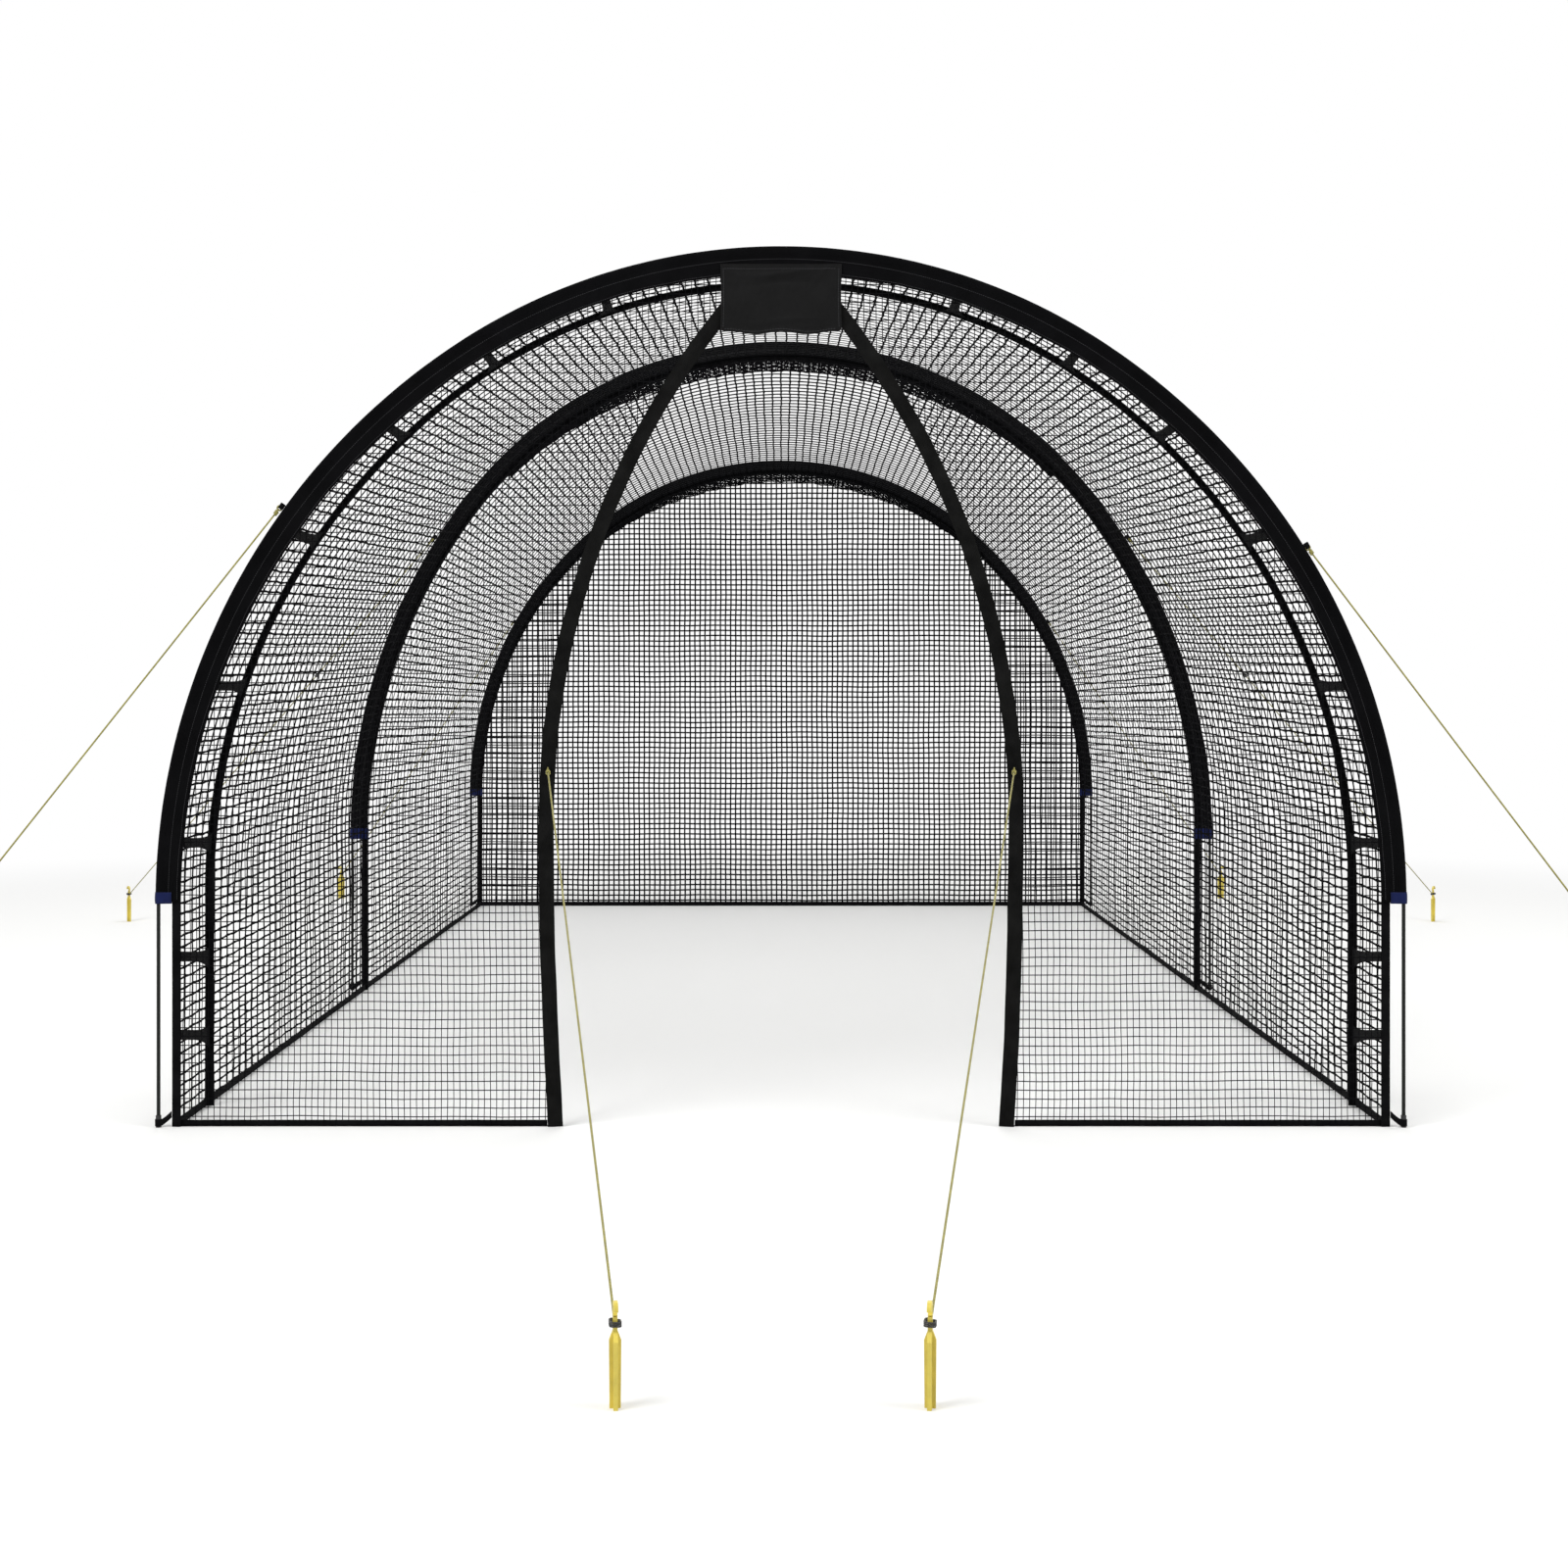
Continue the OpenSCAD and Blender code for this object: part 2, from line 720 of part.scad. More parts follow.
module peg_cross(tip) {
    shoulder = peg_neck_z - 30;
    polygon([[-tip / 2, 0], [tip / 2, 0], [tip / 2 + 1, shoulder], [peg_neck / 4, peg_neck_z - 12],
        [-peg_neck / 4, peg_neck_z - 12], [-tip / 2 - 1, shoulder]]);
}

// A turned slider that grips the rope; the rope runs through its bore.
module slider(route) {
    share = 0.32;
    waist = 5;
    knob = 7.5;
    tip = 3;
    way = route[1] - route[0];
    half = slider_l / 2;
    bore = rope_d / 2 + fit;
    color(black)
        translate(route[0] + share * way)
            rotate([0, acos(way[2] / norm(way)), atan2(way[1], way[0])])
                rotate_extrude()
                    polygon([[bore, -half], [knob - 2, -half], [knob, tip - half],
                        [knob, -half / 2], [waist, -half / 4], [waist, half / 4],
                        [knob, half / 2], [knob, half - tip], [knob - 2, half], [bore, half]]);
}

leg_poles(front_y, front_hoop);  // front_leg_poles
leg_poles(middle_y, middle_hoop);  // middle_leg_poles
leg_poles(back_y, back_hoop);  // back_leg_poles
upper_poles(front_y, front_hoop);  // front_poles
upper_poles(middle_y, middle_hoop);  // middle_poles
upper_poles(back_y, back_hoop);  // back_poles
ferrules(front_y, front_hoop);  // front_ferrules
ferrules(middle_y, middle_hoop);  // middle_ferrules
ferrules(back_y, back_hoop);  // back_ferrules
sleeve(front_y, front_hoop);  // front_sleeve
sleeve(middle_y, middle_hoop);  // middle_sleeve
sleeve(back_y, back_hoop);  // back_sleeve
end_bands();
foot_caps();
corner_straps();
edge_tape(front_y, front_hoop);  // front_edge_tape
edge_tape(middle_y, middle_hoop);  // middle_edge_tape
edge_tape(back_y, back_hoop);  // back_edge_tape
bay_net(front_y + bay_y, middle_y - flange_t / 2 - fit);  // front_bay_net
bay_net(middle_y + net_y, back_y - flange_t / 2 - fit);  // rear_bay_net
back_net();
front_net(-1);  // left_front_net
front_net(1);  // right_front_net
gather(middle_y, middle_hoop);  // middle_gather
gather(back_y, back_hoop);  // back_gather
ring_tape();
ring_tabs();
side_ground_tape(-1);  // left_ground_tape
side_ground_tape(1);  // right_ground_tape
back_ground_tape();
front_ground_tape(-1);  // left_front_ground_tape
front_ground_tape(1);  // right_front_ground_tape
door_tape(-1);  // left_door_tape
door_tape(1);  // right_door_tape
header_panel();
guy_loops();
guy(left_front_route);  // left_front_guy
guy(right_front_route);  // right_front_guy
guy(left_middle_route);  // left_middle_guy
guy(right_middle_route);  // right_middle_guy
guy(left_back_route);  // left_back_guy
guy(right_back_route);  // right_back_guy
guy(left_door_route);  // left_door_guy
guy(right_door_route);  // right_door_guy
peg(left_front_route);  // left_front_peg
peg(right_front_route);  // right_front_peg
peg(left_middle_route);  // left_middle_peg
peg(right_middle_route);  // right_middle_peg
peg(left_back_route);  // left_back_peg
peg(right_back_route);  // right_back_peg
peg(left_door_route);  // left_door_peg
peg(right_door_route);  // right_door_peg
slider(left_middle_route);  // left_slider
slider(right_middle_route);  // right_slider
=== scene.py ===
"""Golf practice net: the looks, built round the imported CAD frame. Metres; +Y runs from the
doorway to the back wall, +X is right and +Z is up."""

import functools
import math

import bpy
import numpy as np
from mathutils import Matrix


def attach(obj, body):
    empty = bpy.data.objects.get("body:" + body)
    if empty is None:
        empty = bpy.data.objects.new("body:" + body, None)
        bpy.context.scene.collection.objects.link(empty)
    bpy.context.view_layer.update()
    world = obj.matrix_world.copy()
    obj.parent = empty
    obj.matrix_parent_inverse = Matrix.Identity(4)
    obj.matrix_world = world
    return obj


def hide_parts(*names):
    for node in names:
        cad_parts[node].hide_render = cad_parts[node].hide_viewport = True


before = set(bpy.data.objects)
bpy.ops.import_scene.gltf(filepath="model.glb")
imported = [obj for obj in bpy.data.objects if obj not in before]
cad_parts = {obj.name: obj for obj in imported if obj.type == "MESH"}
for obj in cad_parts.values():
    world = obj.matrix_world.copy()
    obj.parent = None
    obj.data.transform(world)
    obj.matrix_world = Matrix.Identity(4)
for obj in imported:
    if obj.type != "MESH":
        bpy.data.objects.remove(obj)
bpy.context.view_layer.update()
CAGE = "cage"
SIDES = ((-1, "left"), (1, "right"))

# ---- driving sizes, as in the CAD model ----

HALF_W = 1.827
LEG_H = 0.660
FRONT_Y, MIDDLE_Y, BACK_Y = -3.350, -0.350, 3.350
FRONT_HOOP, MIDDLE_HOOP, BACK_HOOP = (2.577, 57.0), (2.756, 38.0), (2.620, 48.0)
HOOPS = {
    "front": (FRONT_Y, FRONT_HOOP),
    "middle": (MIDDLE_Y, MIDDLE_HOOP),
    "back": (BACK_Y, BACK_HOOP),
}
SLEEVE_R = 0.0087
NET_INSET = 0.050
RING_Y = FRONT_Y + 0.340
GROUND = 0.001
DOOR_HALF, DOOR_FOOT, DOOR_HEAD = 0.690, 0.662, 0.096
DOOR_WIDE_Z, DOOR_TOP_Z = 0.900, 2.481
DOOR_TAPE_W = 0.045

# ---- small helpers ----


def unit(vectors):
    return vectors / np.linalg.norm(vectors, axis=-1, keepdims=True)


def ease(t):
    """From 0 to 1, with a soft start and a soft end."""
    return t * t * (3 - 2 * t)


def ripple(a, b, seed=0.0):
    """Smooth, uneven waves between -1 and 1 over two lengths in metres."""
    return (
        0.5 * np.sin(2.1 * a + 1.3 * b + 0.4 + seed)
        + 0.3 * np.sin(5.3 * a - 3.1 * b + 1.7 + 2.3 * seed)
        + 0.2 * np.sin(9.7 * a + 7.9 * b + 2.9 + 3.1 * seed)
    )


# ---- the camera ----

LENS = 51.9
EYE = (0.0, -9.984, 1.292)
AXIS_PX = (797.0, 701.0)  # the pixel of the photograph at which the level view axis lies
PHOTO_PX = 1600.0
SENSOR = 36.0


def make_camera():
    data = bpy.data.cameras.new("camera")
    data.lens = LENS
    data.sensor_width = SENSOR
    data.shift_x = (PHOTO_PX / 2 - AXIS_PX[0]) / PHOTO_PX
    data.shift_y = (AXIS_PX[1] - PHOTO_PX / 2) / PHOTO_PX
    data.clip_end = 200.0
    camera = bpy.data.objects.new("camera", data)
    camera.location = EYE
    camera.rotation_euler = (math.radians(90), 0, 0)
    bpy.context.collection.objects.link(camera)
    bpy.context.scene.camera = camera


# ---- the hoops' line ----


def radii(hoop):
    """(crown radius, side radius, join angle, height of the crown's centre) of a hoop."""
    height, join = hoop[0], math.radians(hoop[1])
    slope = math.sin(join) / (1 - math.cos(join))
    crown = (HALF_W * slope - height + LEG_H) / (math.cos(join) * slope - 1 + math.sin(join))
    side = (HALF_W - crown * math.cos(join)) / (1 - math.cos(join))
    return crown, side, join, LEG_H + (side - crown) * math.sin(join)


def hoop_length(hoop):
    crown, side, join, _ = radii(hoop)
    return 2 * (LEG_H + side * join) + crown * (math.pi - 2 * join)


def hoop_angle(hoop, s):
    """The direction that faces outwards at s along the hoop, from its right foot."""
    crown, side, join, _ = radii(hoop)
    s = np.asarray(s, float)
    half = np.minimum(s, hoop_length(hoop) - s)
    on_side = np.clip((half - LEG_H) / side, 0, join)
    on_crown = np.maximum(half - LEG_H - side * join, 0) / crown
    angle = on_side + on_crown
    return np.where(s <= hoop_length(hoop) / 2, angle, math.pi - angle)


def hoop_point(hoop, s, off=0.0):
    """(x, z) at s along the hoop, moved outwards by off."""
    crown, side, join, centre = radii(hoop)
    s = np.asarray(s, float)
    long = hoop_length(hoop)
    half = np.minimum(s, long - s)
    angle = np.minimum(hoop_angle(hoop, half), math.pi / 2)
    on_side = half <= LEG_H + side * join
    radius = np.where(on_side, side, crown) + off
    x = np.where(on_side, HALF_W - side, 0) + radius * np.cos(angle)
    z = np.where(on_side, LEG_H, centre) + radius * np.sin(angle)
    leg = half <= LEG_H
    x, z = np.where(leg, HALF_W + off, x), np.where(leg, half, z)
    return np.where(s <= long / 2, x, -x), z


def hoop_at(y):
    """The shape that a hoop would have at y."""
    if y < MIDDLE_Y:
        t = (y - FRONT_Y) / (MIDDLE_Y - FRONT_Y)
        a, b = FRONT_HOOP, MIDDLE_HOOP
    else:
        t = (y - MIDDLE_Y) / (BACK_Y - MIDDLE_Y)
        a, b = MIDDLE_HOOP, BACK_HOOP
    return tuple(p + (q - p) * t for p, q in zip(a, b))


def bow(long, drift):
    """The radius of an arc that drifts so far sideways over a length."""
    return (long * long + drift * drift) / (2 * drift)


def door_x(z):
    """Half the doorway's width at z, to the middle of its tape."""
    z = np.asarray(z, float)
    low = bow(DOOR_WIDE_Z, DOOR_HALF - DOOR_FOOT)
    high = bow(DOOR_TOP_Z - DOOR_WIDE_Z, DOOR_HALF - DOOR_HEAD)
    r = np.where(z < DOOR_WIDE_Z, low, high)
    return DOOR_HALF - r + np.sqrt(np.maximum(r * r - (z - DOOR_WIDE_Z) ** 2, 0))


# ---- meshes ----


def add_mesh(name, points, faces, uv=None, smooth=True):
    mesh = bpy.data.meshes.new(name)
    mesh.from_pydata(np.asarray(points).tolist(), [], faces)
    if uv is not None:
        layer = mesh.uv_layers.new(name="UVMap")
        corners = np.empty(len(mesh.loops), dtype=np.int64)
        mesh.loops.foreach_get("vertex_index", corners)
        layer.data.foreach_set("uv", np.asarray(uv)[corners].ravel())
    mesh.update()
    piece = bpy.data.objects.new(name, mesh)
    bpy.context.collection.objects.link(piece)
    if smooth:
        mesh.shade_smooth()
    return piece


def join_parts(parts):
    """Joins (points, faces, uv) parts into one."""
    points, faces, uvs, base = [], [], [], 0
    for p, f, uv in parts:
        points.append(np.asarray(p))
        faces += [[v + base for v in face] for face in f]
        uvs.append(np.asarray(uv))
        base += len(p)
    return np.concatenate(points), faces, np.concatenate(uvs)


def grid_faces(rows, cols, close_rows=False, close_cols=False, base=0):
    """Quads over a grid of rows by cols points."""
    i = np.arange(rows if close_rows else rows - 1)
    j = np.arange(cols if close_cols else cols - 1)
    a, b = np.meshgrid(i, j, indexing="ij")
    c, d = (a + 1) % rows, (b + 1) % cols
    quads = np.stack([a * cols + b, a * cols + d, c * cols + d, c * cols + b], axis=-1)
    return (quads.reshape(-1, 4) + base).tolist()


def sweep(rings, along, closed=False):
    """(points, faces, uv) of a closed profile swept over rings, an array (n, m, 3). along is
    the distance of each ring, in metres."""
    rings = np.asarray(rings, float)
    n, m = rings.shape[:2]
    faces = grid_faces(n, m, close_rows=closed, close_cols=True)
    if not closed:
        faces.append(list(range(m))[::-1])
        faces.append([(n - 1) * m + k for k in range(m)])
    round_it = np.linalg.norm(np.roll(rings[0], -1, axis=0) - rings[0], axis=1)
    across = np.concatenate([[0.0], np.cumsum(round_it)[:-1]])
    uv = np.stack([np.repeat(np.asarray(along, float), m), np.tile(across, n)], axis=-1)
    return rings.reshape(-1, 3), faces, uv


def mirrored(rings):
    """The same rings on the other side of the cage."""
    return rings[:, ::-1] * (-1, 1, 1)


def tube(line, one, two, radius, sides=8):
    """Rings of a round cord along a line. one and two are directions square to it."""
    a = (np.arange(sides) * 2 * math.pi / sides)[:, None]
    return line[:, None] + radius * (np.cos(a) * one[..., None, :] + np.sin(a) * two[..., None, :])


def folded(line, thick):
    """The closed section of cloth this thick that is folded along line (n, 2)."""
    ahead = unit(np.gradient(line, axis=0))
    inside = line + thick * np.stack([ahead[:, 1], -ahead[:, 0]], axis=-1)
    return np.concatenate([line, inside[::-1]])


def hoop_rings(y, hoop, s, profile):
    """Rings along a hoop: profile is (n, m, 2) or (m, 2), outwards and to the front."""
    s = np.asarray(s, float)
    x, z = hoop_point(hoop, s)
    a = hoop_angle(hoop, s)
    profile = np.asarray(profile, float)
    if profile.ndim == 2:
        profile = np.broadcast_to(profile, (len(s),) + profile.shape)
    out, front = profile[..., 0], profile[..., 1]
    return np.stack(
        [
            x[:, None] + out * np.cos(a)[:, None],
            y - front,
            z[:, None] + out * np.sin(a)[:, None],
        ],
        axis=-1,
    )


def strip(width, thick, out=0.0, front=0.0, soft=0.35):
    """A flat strap's section, with softened edges: width outwards and thick to the front."""
    w, t = width / 2, thick / 2
    e = soft * thick
    corners = [(-w, -t + e), (-w + e, -t), (w - e, -t), (w, -t + e)]
    corners += [(w, t - e), (w - e, t), (-w + e, t), (-w, t - e)]
    return np.array([(out + a, front + b) for a, b in corners])


def strands(lines, normals, width, thick, swell=1.0, deepen=1.0):
    """(points, faces, uv) of thin twines along lines (k, n, 3): four sides each, closed.
    normals are the directions of their thickness, or one for all. swell (n) widens them at
    their knots, and deepen (n) thickens them."""
    lines, normals = np.asarray(lines, float), np.asarray(normals, float)
    wide = width * np.broadcast_to(swell, lines.shape[1])[None, :, None]
    deep = thick * np.broadcast_to(deepen, lines.shape[1])[None, :, None]
    ahead = unit(np.gradient(lines, axis=1))
    side = unit(np.cross(ahead, normals))
    up = np.cross(side, ahead)
    a, b = side * wide / 2, up * deep / 2
    ring = np.stack([lines + a, lines + b, lines - a, lines - b], axis=2)
    k, n = lines.shape[:2]
    one = grid_faces(n, 4, close_cols=True)
    one += [[3, 2, 1, 0], [(n - 1) * 4 + c for c in range(4)]]
    faces = (np.array(one) + (np.arange(k) * n * 4)[:, None, None]).reshape(-1, 4).tolist()
    step = np.linalg.norm(np.diff(lines, axis=1), axis=-1)
    along = np.concatenate([np.zeros((k, 1)), np.cumsum(step, axis=1)], axis=1)
    uv = np.stack(
        [np.repeat(along.ravel(), 4), np.tile(np.arange(4) * width * 0.7, k * n)], axis=-1
    )
    return ring.reshape(-1, 3), faces, uv


# ---- materials ----


def material(name, rough, color, metallic=0.0, **sockets):
    """A new material with its Principled shader's plain sockets set."""
    mat = bpy.data.materials.new(name)
    mat.use_nodes = True
    shader = mat.node_tree.nodes["Principled BSDF"]
    shader.inputs["Base Color"].default_value = (*color, 1)
    shader.inputs["Roughness"].default_value = rough
    shader.inputs["Metallic"].default_value = metallic
    for socket, value in sockets.items():
        shader.inputs[socket.replace("_", " ")].default_value = value
    return mat, shader


def node(mat, kind, **values):
    made = mat.node_tree.nodes.new(kind)
    for key, value in values.items():
        if key in made.inputs:
            made.inputs[key].default_value = value
        else:
            setattr(made, key, value)
    return made


def wire(mat, out, into):
    mat.node_tree.links.new(out, into)


def mottle(mat, shader, color, source, scale, low=0.75, high=1.3):
    """Uneven colour, between low and high times color."""
    noise = node(mat, "ShaderNodeTexNoise", Scale=scale, Detail=4.0, Roughness=0.6)
    wire(mat, source, noise.inputs["Vector"])
    ramp = node(mat, "ShaderNodeValToRGB")
    ramp.color_ramp.elements[0].position = 0.35
    ramp.color_ramp.elements[1].position = 0.68
    ramp.color_ramp.elements[0].color = (*[c * low for c in color], 1)
    ramp.color_ramp.elements[1].color = (*[min(c * high, 1) for c in color], 1)
    wire(mat, noise.outputs["Fac"], ramp.inputs["Fac"])
    wire(mat, ramp.outputs["Color"], shader.inputs["Base Color"])


def bands(mat, source, period, direction):
    """Straight waves with a period in metres."""
    wave = node(mat, "ShaderNodeTexWave", bands_direction=direction)
    wave.inputs["Scale"].default_value = 2 * math.pi / 20 / period  # 20 is in Blender's formula
    wire(mat, source, wave.inputs["Vector"])
    return wave


def combine(mat, a, b, operation="MULTIPLY"):
    """A value from two outputs, or from an output and a number."""
    made = node(mat, "ShaderNodeMath", operation=operation)
    wire(mat, a, made.inputs[0])
    if isinstance(b, float):
        made.inputs[1].default_value = b
    else:
        wire(mat, b, made.inputs[1])
    return made.outputs[0]


def bump(mat, shader, height, distance, strength=1.0):
    made = node(mat, "ShaderNodeBump", Distance=distance, Strength=strength)
    wire(mat, height, made.inputs["Height"])
    wire(mat, made.outputs["Normal"], shader.inputs["Normal"])


def cloth_material(name, color, period, rough=0.8, sheen=0.04, wrinkle=0.5, gloss=0.06):
    """Plain weave on the piece's own UVs, which are in metres, with fine creases."""
    mat, shader = material(
        name, rough, color, Sheen_Weight=sheen, Sheen_Roughness=0.4, Specular_IOR_Level=gloss
    )
    uv = node(mat, "ShaderNodeUVMap").outputs["UV"]
    mottle(mat, shader, color, uv, 9.0)
    warp = bands(mat, uv, period, "X").outputs["Fac"]
    weft = bands(mat, uv, period, "Y").outputs["Fac"]
    weave = combine(mat, warp, weft)
    crease = node(mat, "ShaderNodeTexNoise", Scale=34.0, Detail=3.0, Distortion=0.8)
    wire(mat, uv, crease.inputs["Vector"])
    height = combine(mat, combine(mat, crease.outputs["Fac"], wrinkle), weave, "ADD")
    bump(mat, shader, height, 0.0012)
    return mat


def webbing_material(name, color):
    """Ribbed webbing: close ribs across the strap and a stitched line near each edge."""
    mat, shader = material(
        name, 0.75, color, Sheen_Weight=0.015, Sheen_Roughness=0.4, Specular_IOR_Level=0.02
    )
    uv = node(mat, "ShaderNodeUVMap").outputs["UV"]
    mottle(mat, shader, color, uv, 14.0, 0.7, 1.5)
    ribs = bands(mat, uv, 0.0022, "X").outputs["Fac"]
    lines = bands(mat, uv, 0.0045, "Y").outputs["Fac"]
    bump(mat, shader, combine(mat, ribs, lines, "ADD"), 0.0005)
    return mat


def twine_material(name, color):
    """Twisted twine: slanting ridges along each strand."""
    mat, shader = material(name, 0.75, color, Specular_IOR_Level=0.02)
    uv = node(mat, "ShaderNodeUVMap").outputs["UV"]
    mottle(mat, shader, color, uv, 22.0, 0.7, 1.4)
    twist = bands(mat, uv, 0.004, "DIAGONAL").outputs["Fac"]
    bump(mat, shader, twist, 0.0006)
    return mat


def rope_material(name, color):
    """Braided cord: two crossing sets of diagonal strands."""
    mat, shader = material(name, 0.55, color, Specular_IOR_Level=0.4, Sheen_Weight=0.2)
    uv = node(mat, "ShaderNodeUVMap").outputs["UV"]
    mottle(mat, shader, color, uv, 40.0, 0.72, 1.12)
    turned = node(mat, "ShaderNodeMapping")
    turned.inputs["Scale"].default_value = (1, -1, 1)
    wire(mat, uv, turned.inputs["Vector"])
    one = bands(mat, uv, 0.005, "DIAGONAL").outputs["Fac"]
    two = bands(mat, turned.outputs["Vector"], 0.005, "DIAGONAL").outputs["Fac"]
    bump(mat, shader, combine(mat, one, two, "MAXIMUM"), 0.0008)
    return mat


def solid_material(name, color, rough, grain, metallic=0.0, **sockets):
    """A moulded, drawn or painted solid: fine grain and slight unevenness, on its own place."""
    mat, shader = material(name, rough, color, metallic, **sockets)
    place = node(mat, "ShaderNodeTexCoord").outputs["Object"]
    mottle(mat, shader, color, place, 18.0, 0.85, 1.12)
    fine = node(mat, "ShaderNodeTexNoise", Scale=grain, Detail=2.0)
    wire(mat, place, fine.inputs["Vector"])
    bump(mat, shader, fine.outputs["Fac"], 0.0004, 0.6)
    rough_range = node(mat, "ShaderNodeMapRange")
    rough_range.inputs["To Min"].default_value = max(rough - 0.08, 0.05)
    rough_range.inputs["To Max"].default_value = rough + 0.1
    wire(mat, fine.outputs["Fac"], rough_range.inputs["Value"])
    wire(mat, rough_range.outputs["Result"], shader.inputs["Roughness"])
    return mat


def make_materials():
    return {
        "sleeve": cloth_material(
            "sleeve_cloth", (0.0030, 0.0030, 0.0035), 0.0016, sheen=0.01, gloss=0.03
        ),
        "header": cloth_material(
            "header_cloth", (0.0048, 0.0048, 0.0050), 0.0016, rough=0.6, wrinkle=0.9, gloss=0.08
        ),
        "band": cloth_material("band_cloth", (0.010, 0.016, 0.075), 0.0014),
        "tape": webbing_material("tape_webbing", (0.0040, 0.0040, 0.0045)),
        "door": webbing_material("door_webbing", (0.0062, 0.0062, 0.0060)),
        "net": twine_material("net_twine", (0.0040, 0.0040, 0.0046)),
        "rope": rope_material("rope_braid", (0.25, 0.225, 0.036)),
        "peg": solid_material(
            "peg_plastic", (0.62, 0.50, 0.075), 0.42, 160.0, Specular_IOR_Level=0.5
        ),
        "slider": solid_material("slider_plastic", (0.010, 0.010, 0.011), 0.45, 200.0),
        "pole": solid_material(
            "pole_fibre", (0.005, 0.006, 0.005), 0.50, 240.0, Specular_IOR_Level=0.2
        ),
        "steel": solid_material("ferrule_steel", (0.55, 0.55, 0.57), 0.34, 300.0, metallic=1.0),
        "cap": solid_material("cap_rubber", (0.016, 0.016, 0.016), 0.75, 180.0),
        # The tie's near-black colour is painted shade at the peg's neck, on what is the rope's own
        # yellow loop.
        "tie": rope_material("tie_braid_painted_shade", (0.014, 0.013, 0.012)),
        "thread": twine_material("sewing_thread", (0.060, 0.060, 0.064)),
    }


def make_piece(name, shape, mat, slot, *nodes, smooth=True):
    """A piece of the cage from its (points, faces, uv), and the CAD nodes that it replaces."""
    piece = add_mesh(name, *shape, smooth=smooth)
    piece.data.materials.append(mat)
    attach(piece, CAGE)
    if nodes:
        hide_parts(*nodes)
    return piece


# ---- guy ropes ----

ROPE_D = 0.005
ROUTES = {  # each rope's start at its webbing loop, and its end at the neck of its peg
    "left_front": [(-1.473, -3.352, 1.814), (-2.680, -3.744, 0.152)],
    "right_front": [(1.547, -3.352, 1.698), (2.610, -3.744, 0.152)],
    "left_middle": [(-1.481, -0.341, 1.925), (-3.588, 2.468, 0.152)],
    "right_middle": [(1.481, -0.341, 1.925), (3.588, 2.468, 0.152)],
    "left_back": [(-1.581, 3.353, 1.672), (-2.680, 3.838, 0.152)],
    "right_back": [(1.581, 3.353, 1.672), (2.680, 3.838, 0.152)],
    "left_door": [(-0.683, -3.365, 1.047), (-0.299, -5.922, 0.152)],
    "right_door": [(0.683, -3.365, 1.047), (0.269, -5.922, 0.152)],
}
TIE_AHEAD = 0.0102  # the neck's middle, beyond the rope's end
TIE_R, TIE_H, TIE_CORD_R = 0.0125, 0.0105, 0.0017
KNOT_CORD_R = 0.0024
EYE_R, EYE_BACK = 0.0070, 0.0035
WRAP_R, WRAP_FROM, WRAP_LONG = 0.0046, 0.007, 0.014


def make_tie(name, end, ahead, mat):
    """Three turns of cord that hold the rope's end to the neck of its peg. Their near-black colour
    is painted shade at the peg's neck, where the rope's own loop is yellow.
    """
    way = unit(ahead[:2])
    across = np.array((-way[1], way[0], 0))
    way = np.array((way[0], way[1], 0))
    a = (np.arange(3 * 22 + 1) * 2 * math.pi / 22)[:, None]
    flat = TIE_R / (np.cos(a) ** 6 + np.sin(a) ** 6) ** (1 / 6)
    rise = (a / a[-1] - 0.5) * TIE_H
    line = end + way * (TIE_AHEAD - np.cos(a) * flat) + np.sin(a) * flat * 0.8 * across
    line = line + rise * np.array((0, 0, 1))
    path = unit(np.gradient(line, axis=0))
    side = unit(np.cross(path, (0, 0, 1)))
    rings = tube(line, side, np.cross(side, path), TIE_CORD_R)
    make_piece(f"{name}_tie", sweep(rings, a[:, 0] * TIE_R), mat, "rope")


def make_knot(name, start, ahead, side, up, mat):
    """The rope's knot: an eye through its webbing loop, and three turns round itself."""
    a = np.linspace(0, 2 * math.pi, 19)[:-1, None]
    eye = start + ahead * (EYE_R * np.cos(a) - EYE_BACK) + up * EYE_R * np.sin(a)
    path = unit(np.roll(eye, -1, axis=0) - np.roll(eye, 1, axis=0))
    rings = tube(eye, side, np.cross(path, side), KNOT_CORD_R)
    parts = [sweep(rings, a[:, 0] * EYE_R, closed=True)]
    t = np.linspace(0, 1, 55)[:, None]
    a = 6 * math.pi * t
    out = np.cos(a) * side + np.sin(a) * up
    wrap = start + ahead * (WRAP_FROM + WRAP_LONG * t) + WRAP_R * out
    path = unit(np.gradient(wrap, axis=0))
    parts.append(sweep(tube(wrap, out, np.cross(path, out), KNOT_CORD_R), a[:, 0] * WRAP_R))
    make_piece(f"{name}_knot", join_parts(parts), mat, "rope")


def make_rope(name, route, mat, tie):
    """A taut rope, as a round tube with a ring every few centimetres."""
    start, end = np.array(route[0]), np.array(route[1])
    long = float(np.linalg.norm(end - start))
    t = np.linspace(0, 1, int(long / 0.05) + 2)
    line = start + (end - start) * t[:, None]
    ahead = (end - start) / long
    side = unit(np.cross(ahead, (0, 0, 1)))
    up = np.cross(side, ahead)
    rings = tube(line, side, up, ROPE_D / 2, 12)
    piece = make_piece(f"{name}_rope", sweep(rings, t * long), mat, "rope", f"{name}_guy")
    make_tie(name, end, ahead, tie)
    make_knot(name, start, ahead, side, up, mat)


# ---- the stage ----

FLOOR = 60.0
FLOOR_PALE = (4.5, 9.0)  # the floor fades from its own colour to white between these radii


